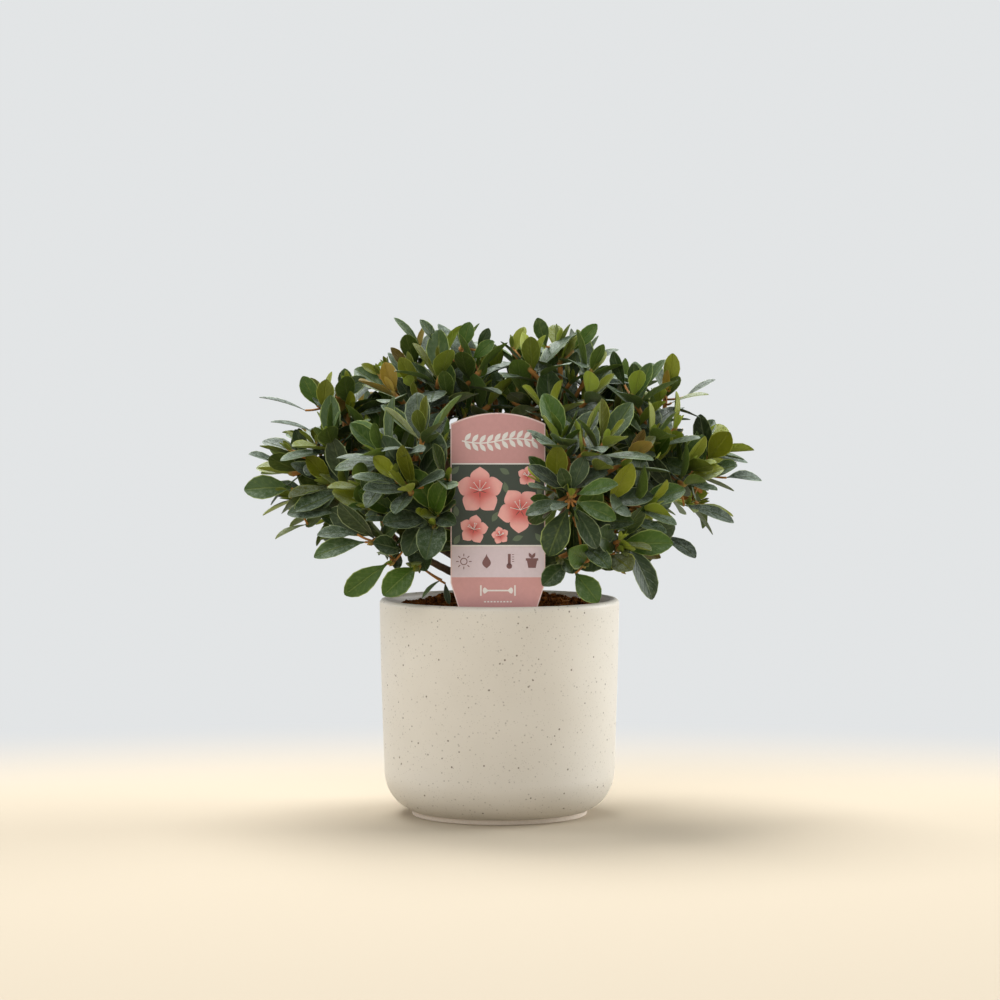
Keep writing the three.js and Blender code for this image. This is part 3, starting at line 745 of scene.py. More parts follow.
def plastic(name, colour, rim_colour=None):
    """Satin plastic with a faint mottle. With a rim colour the tone changes along the pattern's u."""
    paint = Paint(name)
    mottle = paint.noise(500, 2)
    if rim_colour:
        colour = paint.mix(paint.ramp(paint.uv("X"), 0.12, 0.8), colour, rim_colour)
    darker = paint.mix(mottle * 0.14, colour, MOTTLE_COLOUR)
    return paint.finish(Base_Color=darker, Roughness=0.34 + 0.1 * mottle, Normal=paint.bump(mottle, 0.00001))


inks = {
    "edge": plastic("pale edge", srgb(236, 206, 200)),
    "rose": plastic("rose plastic", srgb(210, 154, 150)),
    "white": plastic("white ink", srgb(240, 234, 228)),
    "dark_green": plastic("dark green ink", srgb(56, 68, 56)),
    "pale": plastic("pale rose ink", srgb(222, 205, 210)),
    "petal": plastic("petal ink", srgb(216, 92, 84), srgb(250, 182, 174)),
    "leaf": plastic("leaf ink", srgb(96, 112, 84)),
    "sign": plastic("sign ink", srgb(126, 84, 82)),
}
shapes = [(shape, number) for number, some in enumerate(printed.values()) for shape in some]
points, faces, uv = merged([shape for shape, _ in shapes])
look_of_face = np.concatenate([np.full(sum(map(len, shape[1])), number) for shape, number in shapes])
label = add_piece("label_printed", points, faces, list(inks.values()), look_of_face, uv, crease=30)
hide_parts("plant_label")

# %% [markdown]
# ## How the shrub grows
# The whole crown follows one rule. A short stem forks into twelve limbs. Each limb runs into a lobe of the
# crown, whose centre is its hub, and there it throws out shoots. The shoots that show most have listed
# tips, and the rest spread over the lobe by the golden angle, which never lines them up. Each shoot ends
# in a whorl of leaves. The tint of a listed shoot says how fresh its growth is, and OPEN marks the one
# whose whorl is listed leaf by leaf.

# %% List the lobes of the crown
GOLDEN_ANGLE = math.pi * (3 - math.sqrt(5))
UP = np.array([0, 0, 1.0])
TRUNK_FOOT = 120.3
TRUNK_HEIGHT = 17
TRUNK_RADIUS = 6.2
TRUNK_FLARE = 3.2
TRUNK_LEAN = 1.5
BOUGH_FOOT_RADIUS = 2.5
BOUGH_TIP_RADIUS = 1.5
CROWN_HEART = np.array([0, 0, 158.0])
CROWN_FLOOR = 117
# the crown's top line: places across and heights
CROWN_TOP = np.array([
    (-140, 196), (-126, 205), (-114, 212), (-109, 228), (-104, 238), (-86, 243), (-68, 245), (-60, 252),
    (-54, 260), (-44, 267), (-10, 267), (-2, 257), (8, 262), (14, 268), (44, 269), (54, 262), (60, 252),
    (80, 248), (97, 246), (101, 224), (106, 217), (119, 216), (126, 208), (134, 203), (142, 196),
])
# gaps between the sprays where the sky shows: place across, height and radius
SKY_GAPS = [(-104, 214, 5), (-70, 147, 5), (104, 155, 6), (119, 173, 5), (102, 212, 5)]
PLAIN, FRESH, BRONZE, OLIVE, OPEN = range(5)

# name, hub, reach, number of spread shoots, how far up the stem its limb starts, lift of its whorls,
# listed tips with tints
LOBES = [
    ("left", (-84, 2, 188), 30, 12, 0.5, 0.4, [(-95, 0, 223, OLIVE), (-112, -6, 185, FRESH),
        (-80, -34, 175, FRESH), (-80, -4, 229, PLAIN), (-90, -28, 202, PLAIN)]),
    ("right", (86, 2, 189), 29, 12, 0.55, 0.4, [(71, -22, 227, PLAIN), (90, 2, 233, BRONZE),
        (115, 0, 197, OLIVE), (98, -28, 180, PLAIN), (80, -30, 204, PLAIN)]),
    ("left_crest", (-37, 8, 213), 34, 11, 0.88, 0.4, [(-46, 2, 247, BRONZE), (-32, -22, 237, OLIVE),
        (-20, 4, 254, PLAIN), (-64, -8, 238, PLAIN), (-11, -10, 240, PLAIN)]),
    ("right_crest", (34, 10, 214), 34, 11, 0.8, 0.4, [(16, -14, 242, FRESH), (31, 4, 254, OLIVE),
        (49, -12, 240, PLAIN), (7, 0, 252, PLAIN)]),
    ("left_low", (-58, -34, 154), 21, 6, 0.14, -0.1, [(-67, -57, 151, PLAIN), (-56, -62, 141, PLAIN),
        (-42, -57, 139, PLAIN)]),
    ("right_low", (58, -32, 154), 21, 6, 0.14, -0.1, [(62, -58, 148, PLAIN), (44, -63, 140, PLAIN),
        (32, -54, 143, PLAIN)]),
    ("front_left", (-42, -50, 180), 28, 10, 0.6, 0.4, [(-46, -78, 178, FRESH), (-40, -66, 208, OLIVE),
        (-62, -64, 198, PLAIN), (-34, -70, 160, PLAIN)]),
    ("front_right", (42, -50, 179), 28, 10, 0.66, 0.4, [(37, -78, 176, OPEN), (55, -66, 204, OLIVE),
        (76, -56, 168, PLAIN), (32, -62, 205, PLAIN)]),
    ("back_left", (-54, 56, 180), 34, 12, 0.36, 0.4, []),
    ("back_right", (56, 54, 180), 34, 12, 0.34, 0.4, []),
    ("back_crest", (-1, 42, 209), 34, 12, 0.7, 0.4, []),
    ("back_low", (1, 74, 168), 33, 12, 0.16, 0.4, []),
]
HUBS = np.array([lobe[1] for lobe in LOBES], float)
print("lobes:", len(LOBES), "listed tips:", sum(len(lobe[6]) for lobe in LOBES))


def chance(lobe, shoot, leaf):
    """A repeatable number from 0 to 1: what is left after the point of a large sine."""
    wave = np.sin(lobe * 127.1 + shoot * 311.7 + leaf * 74.7) * 43758.5453
    return wave - np.floor(wave)


# %% [markdown]
# A limb is a curve from the stem, first outwards and then up into the hub. It counts as a bough until it
# comes into its lobe's own space, which ends halfway to the other hubs. Shoots start beyond that.

# %% Run the limbs out to the hubs
LIMB_BEND = (0.55, 0.55, 0.3)
CELL_MARGIN = 3
stem_foot = np.array([[0, 0, TRUNK_FOOT]])
stem_bend = stem_foot + UP * TRUNK_HEIGHT / 2
stem_top = np.array([[TRUNK_LEAN, -TRUNK_LEAN, TRUNK_FOOT + TRUNK_HEIGHT]])
limb_root = along_curve(stem_foot, stem_bend, stem_top, [lobe[4] for lobe in LOBES])[0]
limb_bend = limb_root + (HUBS - limb_root) * LIMB_BEND


def limb_places(index, share):
    """Places on one limb at a share of its curve."""
    return along_curve(limb_root[[index]], limb_bend[[index]], HUBS[[index]], share)[0]


def depth_in_cell(points, index):
    """How far points lie inside a lobe's space, which ends halfway to each other hub."""
    others = np.delete(HUBS, index, axis=0)
    own = HUBS[index]
    squares = ((points[:, None] - others) ** 2).sum(-1) - ((points - own) ** 2).sum(-1)[:, None]
    return (squares / (2 * np.linalg.norm(others - own, axis=-1))).min(-1)


def entry_share(index):
    """The share of its curve at which a limb comes into its lobe's space."""
    shares = np.arange(1, 101) / 100
    path = limb_places(index, shares)
    outside = np.linalg.norm(path - HUBS[index], axis=-1) > LOBES[index][2] * 0.9
    outside |= depth_in_cell(path, index) < CELL_MARGIN
    return shares[outside].max(initial=0)


entries = np.array([entry_share(index) for index in range(len(LOBES))])
print("boughs end at:", entries)

# %% [markdown]
# The shoots are kept as arrays: where each starts, bends and ends, the way its whorl faces, and its size.
# Side twigs grow from the shoots by the same rule, shorter and with smaller leaves, and fill the inside.

# %% Throw out the shoots
FAN = math.radians(105)
SIDE_START = 0.42
SIDE_RANK = 2


def lobe_shoots(index):
    """The shoots of one lobe: arrays of roots, bends, tips and axes, and of each one's lobe, number, tint
    and rank."""
    _, _, reach, spread_count, _, lift, listed = LOBES[index]
    hub = HUBS[index]
    outward = unit(hub - CROWN_HEART)
    lead = unit(outward * 0.8 + UP * 0.45)
    across = unit(np.cross(lead, UP))
    beside = np.cross(lead, across)
    i = np.arange(spread_count)
    fan = FAN * np.sqrt((i + 0.35) / spread_count)
    turn = i * GOLDEN_ANGLE + index
    way = lead * np.cos(fan)[:, None] + across * (np.sin(fan) * np.cos(turn))[:, None]
    way += beside * (np.sin(fan) * np.sin(turn))[:, None]
    spread = hub + way * (reach * (0.84 + 0.26 * chance(index, i, 0)))[:, None]
    tips = np.concatenate([np.array(listed, float).reshape(-1, 4)[:, :3], spread])
    number = np.arange(len(tips))
    share = 1 - (1 - entries[index]) * 0.75 * ((number + 0.35) / len(tips))
    roots = limb_places(index, share)
    bends = (roots + tips) / 2 + unit(hub - limb_bend[index]) * reach * 0.14
    axes = unit(unit(tips - hub) * 0.6 + outward * 0.45 + UP * lift)
    dice = chance(index, number, 31)
    tints = np.select([dice < 0.13, dice < 0.24, dice < 0.46], [FRESH, BRONZE, OLIVE], PLAIN)
    tints[: len(listed)] = [tip[3] for tip in listed]
    rank = np.where(number < len(listed), 0, 1)
    return roots, bends, tips, axes, np.full(len(tips), index), number, tints, rank


main = [np.concatenate(column) for column in zip(*map(lobe_shoots, range(len(LOBES))))]
root, bend, tip, axis, lobe_of, number, tint, rank = main


def spread_round(axes, turn, off_up):
    """Vectors square to each axis, turned round it by `turn`. off_up tells where the turn starts."""
    across = unit(np.cross(axes, UP + off_up))
    return across * np.cos(turn)[:, None] + np.cross(axes, across) * np.sin(turn)[:, None]


def side_shoots():
    """Twigs that leave the main shoots at a share of their length, each turned by the golden angle."""
    foot = along_curve(root, bend, tip, [SIDE_START])[:, 0]
    run = unit(tip - root)
    spread = spread_round(run, number * 2 * GOLDEN_ANGLE + lobe_of, 0.01)
    way = unit(run * 0.55 + spread * 0.8 + unit(foot - CROWN_HEART) * 0.25 + UP * 0.2)
    end = foot + way * (11 + 9 * chance(lobe_of, number, 40))[:, None]
    middle = (foot + end) / 2 + run * 2
    dice = chance(lobe_of, number, 50)
    keep = (np.linalg.norm(tip - root, axis=-1) > 16) & (dice < 0.6)
    tints = np.select([dice < 0.12, dice < 0.25], [FRESH, OLIVE], PLAIN)
    made = [foot, middle, end, unit(way + UP * 0.3), lobe_of, number + 100, tints, rank * 0 + SIDE_RANK]
    return [column[keep] for column in made]


root, bend, tip, axis, lobe_of, number, tint, rank = map(np.concatenate, zip(main, side_shoots()))
size = np.where(rank == SIDE_RANK, 0.82, 1.0)
print("shoots:", len(root), "of them side twigs:", int((rank == SIDE_RANK).sum()))

# %% [markdown]
# ## Leaves
# An azalea leaf is a small leathery blade, widest past its middle, on a short stalk. It folds a little
# along its midrib, arches, and ends in a blunt point. A leaf is a closed six-sided tube: five points
# across its upper side and one under the midrib on every row, so that its edge stays sharp and thin.

# %% Shape many leaves at once
LEAF_ROWS = np.array([0.04, 0.13, 0.28, 0.45, 0.62, 0.79, 0.91, 0.98])
LEAF_HALVES = np.array([0.07, 0.17, 0.55, 0.87, 1.0, 0.85, 0.53, 0.2])
LEAF_ACROSS = np.array([-1, -0.5, 0, 0.5, 1, 0])
LEAF_TOP = np.array([0, 0.75, 1, 0.75, 0, -1])
LEAF_THICKNESS = 0.36
LEAF_POINTS = len(LEAF_ROWS) * len(LEAF_ACROSS) + 2


def leaf_blades(leaves, rows, halves, across, top):
    """Points of many blades (n, rows, columns, 3). Each midline is a circular arc from the leaf's foot,
    which turns by `arch` away from its upper side. Across it the two halves rise by `fold`, sink by `curl`
    towards the edges, and turn by `twist` towards the tip."""
    keys = ("length", "width", "arch", "fold", "curl", "twist", "sway", "wave", "luck")
    length, width, arch, fold, curl, twist, sway, wave, luck = (leaves[key][:, None, None] for key in keys)
    u = rows[None, :, None]
    v = across[None, None, :]
    turn = arch * u
    radius = length / arch
    run = unit(leaves["along"])[:, None, None]
    upper = leaves["face"] - run[:, 0, 0] * (leaves["face"] * run[:, 0, 0]).sum(-1, keepdims=True)
    upper = unit(upper)[:, None, None]
    side = np.cross(run, upper)
    middle = leaves["foot"][:, None, None] + run * (radius * np.sin(turn))[..., None]
    middle = middle - upper * (radius * (1 - np.cos(turn)))[..., None]
    raised = upper * np.cos(turn)[..., None] + run * np.sin(turn)[..., None]
    half = width / 2 * halves[None, :, None]
    ripple = wave * np.sin(u * 9 + luck * 20) * v * np.abs(v)
    out = half * v * np.cos(fold)
    lift = half * (np.abs(v) * np.sin(fold) - curl * v**2 + ripple)
    lift = lift + top[None, None, :] * LEAF_THICKNESS / 2
    across_step = out * np.cos(twist * u) - lift * np.sin(twist * u) + sway * length * u**2
    up_step = out * np.sin(twist * u) + lift * np.cos(twist * u)
    return middle + side * across_step[..., None] + raised * up_step[..., None]


def leaf_meshes(leaves):
    """Closed leaves (n, LEAF_POINTS, 3): the rows of the blade, then the foot and the tip."""
    body = leaf_blades(leaves, LEAF_ROWS, LEAF_HALVES, LEAF_ACROSS, LEAF_TOP)
    ends = leaf_blades(leaves, np.array([0.0, 1.0]), np.zeros(2), np.zeros(1), np.zeros(1))
    return np.concatenate([body.reshape(len(body), -1, 3), ends.reshape(len(body), 2, 3)], axis=1)


leaf_u = np.concatenate([np.repeat(LEAF_ROWS, len(LEAF_ACROSS)), [0, 1]])
leaf_v = np.concatenate([np.tile((LEAF_ACROSS + 1) / 2, len(LEAF_ROWS)), [0.5, 0.5]])
leaf_uv = np.stack([leaf_u, leaf_v], axis=-1)
leaf_faces = tube_faces(len(LEAF_ROWS), len(LEAF_ACROSS))
under_faces = [np.arange(len(some)) % len(LEAF_ACROSS) >= len(LEAF_ACROSS) - 2 for some in leaf_faces]
print("a leaf has", sum(map(len, leaf_faces)), "faces")

# %% [markdown]
# A whorl holds leaves of all ages. The youngest stand up round the shoot's tip, small and cupped. The
# older ones sit lower, open wider, and arch back. The rule gives every leaf its own luck, so no two whorls
# are alike. Between the youngest leaves stand a few tiny ones that are still folded.

# %% Grow the whorls
WHORL = 8
SIDE_WHORL = 5
TINY = 3
WHORL_DEPTH = 13
LEAF_LENGTH = 31
ACROSS_START = (0.01, 0, 0)
DARK, MATURE, OLIVE_LEAF, FRESH_LEAF, BRONZE_LEAF = range(5)
# a shoot's tint, and the kind of its leaves up to an age
YOUNG_LEAVES = [
    (OLIVE, OLIVE_LEAF, 0.3), (FRESH, OLIVE_LEAF, 0.4), (FRESH, FRESH_LEAF, 0.22),
    (BRONZE, OLIVE_LEAF, 0.4), (BRONZE, BRONZE_LEAF, 0.22),
]


def whorl_leaves(shoots, count):
    """The leaves of many whorls as arrays, youngest first in each: foot, direction, shape and kind."""
    i = np.tile(np.arange(count), len(shoots))
    s = np.repeat(shoots, count)
    age = i / (count - 1)
    luck, other_luck, openness = (chance(lobe_of[s], number[s], part) for part in (i + 1, i + 60, 90))
    spread = spread_round(axis[s], i * GOLDEN_ANGLE + number[s] * 2 + lobe_of[s], ACROSS_START)
    opening = np.radians(26 + (40 + 20 * openness) * age + 14 * (luck - 0.5))
    along = axis[s] * np.cos(opening)[:, None] + spread * np.sin(opening)[:, None]
    along = along + UP * (0.12 * age)[:, None]
    shoot_length = np.linalg.norm(tip[s] - root[s], axis=-1)
    down = np.minimum(0.9, (WHORL_DEPTH * size[s] * age + 1) / shoot_length)
    foot = along_curve(root[s], bend[s], tip[s], 1 - down[:, None])[:, 0]
    grown = 0.66 + 0.34 * np.minimum(1, age * 2.6)
    length = LEAF_LENGTH * size[s] * grown * (0.88 + 0.22 * luck)
    kind = np.where((age > 0.3) & (other_luck > 0.4), DARK, MATURE)
    kind[(tint[s] == PLAIN) & (age < 0.2) & (other_luck > 0.6)] = OLIVE_LEAF
    for shoot_tint, leaf_kind, oldest in YOUNG_LEAVES:
        kind[(tint[s] == shoot_tint) & (age < oldest)] = leaf_kind
    return {
        "foot": foot, "along": along, "face": axis[s] + UP * 0.4, "length": length,
        "width": length * (0.42 + 0.13 * other_luck), "arch": -0.22 + 0.55 * age + 0.5 * (other_luck - 0.5),
        "fold": 0.36 - 0.16 * age + 0.18 * luck, "curl": 0.05 + 0.2 * age * other_luck,
        "twist": 0.7 * (luck - 0.5), "sway": 0.14 * (other_luck - 0.5), "wave": 0.05 * luck,
        "luck": other_luck, "kind": kind, "shoot": s, "age": age,
    }


def tiny_leaves(shoots):
    """The folded leaves at the tip of each shoot, in the tint of its growth."""
    young = whorl_leaves(shoots, TINY)
    s = young["shoot"]
    i = np.tile(np.arange(TINY), len(shoots))
    spread = spread_round(axis[s], i * GOLDEN_ANGLE + number[s] + 1, ACROSS_START)
    opening = np.radians(9 + 8 * i)
    length = (8 + 6 * young["luck"]) * size[s]
    young.update({
        "along": axis[s] * np.cos(opening)[:, None] + spread * np.sin(opening)[:, None],
        "foot": tip[s] - unit(axis[s]), "length": length, "width": length * 0.34,
        "fold": 0 * length + 0.55, "arch": 0 * length - 0.25, "age": 0 * length,
        "kind": np.select([tint[s] == BRONZE, (tint[s] == PLAIN) | (tint[s] == OPEN)],
                          [BRONZE_LEAF, OLIVE_LEAF], FRESH_LEAF),
    })
    return young


def pick(leaves, which):
    """Some of the leaves."""
    return {key: column[which] for key, column in leaves.items()}


def together(groups):
    """Several groups of leaves as one."""
    return {key: np.concatenate([group[key] for group in groups]) for key in groups[0]}


long_whorls = whorl_leaves(np.flatnonzero((rank < SIDE_RANK) & (tint != OPEN)), WHORL)
short_whorls = whorl_leaves(np.flatnonzero(rank == SIDE_RANK), SIDE_WHORL)
print("leaves grown:", len(long_whorls["foot"]) + len(short_whorls["foot"]))

# %% [markdown]
# The leaves that stand out most, round the edge of the crown and in the open whorl beside the label, have
# listed ends, because their places decide the plant's outline. Each hangs on the nearest shoot by a stalk.

# %% List the leaves that stand out
# foot, tip, the way its upper side looks, width as a share of length, arch, kind
LISTED_LEAVES = [
    ((36, -79, 178), (14.8, -87, 192.5), (-0.35, -0.7, 0.75), 0.4, 0.3, DARK),
    ((36.5, -80, 178), (31.3, -94, 192), (-0.1, -0.75, 0.4), 0.4, -0.2, DARK),
    ((37.5, -78, 179), (44.5, -76, 197), (-0.1, -1, 0.25), 0.56, 0.2, DARK),
    ((39, -79, 177), (61.5, -88, 183), (-0.2, -0.8, 0.65), 0.46, 0.3, MATURE),
    ((39, -79, 174), (60.5, -84, 164.5), (0.1, -0.95, 0.5), 0.46, 0.3, MATURE),
    ((38, -79, 172), (50.5, -84, 149.5), (0.35, -0.9, 0.25), 0.48, 0.4, DARK),
    ((36, -78, 171), (25.4, -82, 145.5), (-0.2, -1, 0.2), 0.58, 0.3, MATURE),
    ((35, -79, 174), (13.6, -86, 167), (-0.1, -0.75, 0.75), 0.42, 0.4, DARK),
    ((36, -82, 173), (27.5, -97, 170), (-0.1, -0.35, 1), 0.5, 0.3, DARK),
    ((-111, -8, 177.6), (-138, -8, 176.8), (0.1, -0.9, 0.45), 0.56, 0.3, MATURE),
    ((-115, -4, 188), (-135, -14, 196), (0.3, -0.3, 0.9), 0.45, 0.3, DARK),
    ((-84, -34, 166), (-113, -36, 165), (0, -0.7, 0.7), 0.46, 0.5, DARK),
    ((-102, -20, 159), (-120, -26, 151), (0.2, -0.1, 1), 0.4, 0.4, OLIVE_LEAF),
    ((-70, -50, 151), (-98, -52, 143), (-0.1, -0.75, 0.65), 0.44, 0.6, MATURE),
    ((-74, -52, 155), (-96, -58, 155), (0, -0.6, 0.8), 0.46, 0.4, DARK),
    ((-58, -63, 141), (-81.5, -60, 123.8), (-0.1, -1, 0.1), 0.46, 0.3, MATURE),
    ((-43, -58, 139), (-61, -68, 124), (-0.1, -1, 0.2), 0.6, 0.4, MATURE),
    ((-50, -66, 147), (-66, -76, 152), (0.1, -0.9, 0.5), 0.62, 0.3, DARK),
    ((-104, -2, 219), (-130, -4, 226.5), (0.2, -0.2, 1), 0.34, 0.3, DARK),
    ((-98, -14, 207), (-123, -16, 213.5), (0.2, -0.2, 1), 0.34, 0.4, DARK),
    ((39.5, -60, 136), (51.8, -70, 120.5), (0, -1, 0.15), 0.62, 0.3, MATURE),
    ((65.5, -56, 152), (80.5, -58, 121), (0.55, -0.85, 0.3), 0.44, 0.6, DARK),
    ((58, -60, 145), (69, -74, 137.5), (0.1, -0.9, 0.5), 0.72, 0.3, OLIVE_LEAF),
    ((36, -56, 140), (22.5, -66, 129), (-0.1, -1, 0.3), 0.6, 0.4, DARK),
    ((42, -64, 151), (57.5, -80, 139), (0.3, -0.9, 0.45), 0.46, 0.5, MATURE),
    ((122, 0, 182.7), (143, 12, 181), (0.1, -0.5, 0.85), 0.44, 0.5, DARK),
    ((108, -4, 182), (127.5, -22, 190), (-0.2, -0.6, 0.75), 0.5, 0.3, MATURE),
    ((98, -20, 169), (125.8, -22, 159.5), (0.15, -0.5, 0.85), 0.4, 0.4, DARK),
    ((87, -25, 153), (104.5, -36, 141.5), (0.3, -0.6, 0.75), 0.46, 0.5, DARK),
    ((114, -2, 192), (108.5, -4, 217.5), (-0.5, -0.85, 0.1), 0.44, 0.3, DARK),
    ((112, -4, 192), (124, -16, 208), (0.15, -0.95, 0.3), 0.6, -0.3, OLIVE_LEAF),
    ((100, 2, 226), (117, 0, 236), (-0.2, -0.45, 1), 0.34, 0.3, DARK),
    ((92, -2, 223), (113, -8, 228), (0.1, -0.3, 1), 0.36, 0.4, OLIVE_LEAF),
    ((94, -26, 176), (79.6, -30, 196), (-0.55, -0.75, 0.4), 0.4, 0.4, DARK),
    ((-42, -5, 252.6), (-57, -6, 269.5), (0.4, -0.6, 0.7), 0.32, 0.3, MATURE),
    ((-33, -3, 254), (-43, -3, 268.5), (0.1, -0.6, 0.8), 0.46, 0.3, MATURE),
    ((-47.5, -8, 238.5), (-58.6, -10, 253.5), (0.3, -0.8, 0.5), 0.38, 0.3, BRONZE_LEAF),
    ((-63, -6, 237.5), (-74.5, -7, 244.5), (0.3, -0.8, 0.5), 0.42, 0.3, OLIVE_LEAF),
    ((-104, -12, 195), (-110, -14, 209.5), (0.1, -1, 0.2), 0.5, 0.3, DARK),
    ((91.8, -5, 229.3), (93.5, -6, 250.4), (0.1, -0.95, 0.35), 0.46, 0.3, OLIVE_LEAF),
    ((89.4, -9, 226.4), (90.6, -11, 241.6), (-0.4, -0.8, 0.3), 0.32, 0.2, BRONZE_LEAF),
    ((78, -8, 230.5), (89.4, -10, 246.9), (-0.6, -0.55, 0.6), 0.44, 0.3, MATURE),
    ((67.8, -10, 232.3), (61.3, -12, 251.6), (-0.5, -0.6, 0.5), 0.42, 0.3, DARK),
    ((71.6, -13, 232), (72.2, -16, 245), (0.1, -1, 0.3), 0.58, 0.3, MATURE),
    ((85.4, -8, 212.2), (103, -10, 214.6), (0, -0.3, 1), 0.3, 0.3, MATURE),
    ((86.5, -12, 202.3), (99, -14, 209.3), (-0.2, -0.6, 0.9), 0.4, 0.3, DARK),
    ((-98, -5, 221), (-106.2, -6, 238), (-0.2, -0.8, 0.5), 0.52, 0.3, MATURE),
    ((-95, -8, 219), (-93.2, -10, 236.4), (0.1, -1, 0.3), 0.58, 0.3, OLIVE_LEAF),
    ((-88.9, -6, 226.2), (-72.1, -8, 237), (0.3, -0.8, 0.5), 0.5, 0.3, MATURE),
    ((-84.5, 2, 227.3), (-83.5, 3, 242), (0, -0.8, 0.5), 0.52, 0.3, DARK),
    ((-20.3, -5, 252.1), (-15.9, -6, 267.2), (0.1, -0.8, 0.6), 0.6, 0.3, MATURE),
    ((-12.2, -3, 251), (-5.7, -4, 263.9), (0.4, -0.7, 0.5), 0.46, 0.3, DARK),
    ((-14.9, -8, 246.8), (-3, -10, 257), (0.2, -0.9, 0.4), 0.52, 0.3, MATURE),
    ((39.2, -4, 251), (52.7, -5, 266.1), (0.5, -0.6, 0.6), 0.42, 0.3, MATURE),
    ((50, -6, 245.6), (64.5, -7, 252.1), (0.2, -0.5, 0.8), 0.46, 0.3, DARK),
    ((25.5, -2, 253), (20.5, -3, 269.5), (-0.2, -0.7, 0.7), 0.5, 0.3, MATURE),
    ((-30, -42, 131), (-41, -42, 120.5), (-0.7, -0.5, 0.8), 0.3, 0.5, MATURE),
    ((-29, -42, 129.5), (-26.5, -44, 117.5), (-0.3, -1, 0.3), 0.3, 0.4, DARK),
]
STALK_STEPS = 12
LEAST_ARCH = 0.03


def listed_leaves():
    """The listed leaves as arrays like those of the whorls, and where on a shoot each one's stalk starts. At
    its foot a leaf leaves the straight line to its tip by half its arch."""
    foot, end, face, width, arch, kind = (np.array(column, float) for column in zip(*LISTED_LEAVES))
    chord = unit(end - foot)
    face = unit(face - chord * (face * chord).sum(-1, keepdims=True))
    along = chord * np.cos(arch / 2)[:, None] + face * np.sin(arch / 2)[:, None]
    length = np.linalg.norm(end - foot, axis=-1) * (arch / 2) / np.sin(arch / 2)
    luck = chance(30, np.arange(len(foot)), 1)
    shoots = np.flatnonzero(rank < SIDE_RANK)
    stations = along_curve(root[shoots], bend[shoots], tip[shoots], np.linspace(0.3, 1, STALK_STEPS))
    gaps = np.linalg.norm(stations.reshape(1, -1, 3) - foot[:, None], axis=-1)
    nearest = gaps.argmin(axis=1)
    made = {
        "foot": foot, "along": along, "face": face, "length": length, "width": width * length, "arch": arch,
        "fold": 0.18 + 0.2 * luck, "curl": 0.08 * luck, "twist": 0.3 * (luck - 0.5), "sway": 0 * luck,
        "wave": 0.05 * luck, "luck": luck, "kind": kind.astype(int), "shoot": shoots[nearest // STALK_STEPS],
        "age": luck * 0 + 0.5,
    }
    return made, stations.reshape(-1, 3)[nearest]


outstanding, stalk_roots = listed_leaves()
longest = np.linalg.norm(outstanding["foot"] - stalk_roots, axis=-1).max()
print("listed leaves:", len(LISTED_LEAVES), "longest stalk in mm:", round(longest))
leaves = together([tiny_leaves(np.arange(len(root))), long_whorls, short_whorls])
leaves["arch"] = np.where(np.abs(leaves["arch"]) < LEAST_ARCH, LEAST_ARCH, leaves["arch"])

# %% [markdown]
# Leaves push each other aside as they grow. Here a leaf whose outer blade would cut that of a leaf with a
# better right to its place is tried again at a smaller size, and then left out. The blades are tried as
# sheets without margins, so neighbours can still cut each other's edges, and the leaves of a whorl cut
# each other near their feet. Leaves also keep out of the label, leave its front in view, and stay between
# the crown's underside, which rises outwards, and its top line.

# %% Make room between the leaves
TRIAL_ROWS = np.array([0.36, 0.55, 0.75, 0.92])
TRIAL_HALVES = np.array([0.62, 0.95, 0.95, 0.6])
TRIAL_ACROSS = np.array([-0.75, 0.0, 0.75])
TRIAL_SIZES = (1.0, 0.86, 0.72)
VIEW_LEFT = -21
VIEW_RIGHT = 14
trial_grid = np.arange(len(TRIAL_ROWS) * 3).reshape(-1, 3)
trial_corners = [trial_grid[:-1, :-1], trial_grid[:-1, 1:], trial_grid[1:, 1:], trial_grid[1:, :-1]]
trial_quads = np.stack(trial_corners, -1).reshape(-1, 4)


def clear_of_things(leaves):
    """True for leaves that keep out of the label, the view of its front and the sky gaps, and between the
    crown's underside and its top line."""
    points = leaf_meshes(leaves)
    x, y, z = points[..., 0], points[..., 1], points[..., 2]
    radius = np.hypot(x, y)
    face_y = LABEL_Y + (z - SOIL_EDGE_HEIGHT) * math.sin(LABEL_LEAN)
    beside_label = (np.abs(x) < half_label + 1) & (z < LABEL_TOP + 1)
    cuts = beside_label & (np.abs(y - face_y) < 1.4)
    crosses = beside_label.any(1) & ((y - face_y).min(1) < 0) & ((y - face_y).max(1) > 0)
    hides = (x > VIEW_LEFT) & (x < VIEW_RIGHT) & (z < LABEL_TOP + 2) & (y < face_y)
    underside = CROWN_FLOOR + 17 * smooth_step(radius, 30, 60) + 32 * np.clip((radius - 60) / 78, 0, 1) ** 2
    over = z > np.interp(x, *CROWN_TOP.T)
    for gap_x, gap_z, gap_radius in SKY_GAPS:
        over |= np.hypot(x - gap_x, z - gap_z) < gap_radius
    return ~(cuts.any(1) | crosses | hides.any(1) | (z < underside).any(1) | over.any(1))


def trial_tree(leaves):
    """A search tree of the leaves' outer blades as thin sheets of a few faces."""
    sheets = leaf_blades(leaves, TRIAL_ROWS, TRIAL_HALVES, TRIAL_ACROSS, np.zeros(3))
    quads = repeat_faces(trial_quads, len(sheets), len(TRIAL_ROWS) * 3)
    return BVHTree.FromPolygons(sheets.reshape(-1, 3).tolist(), quads.tolist())


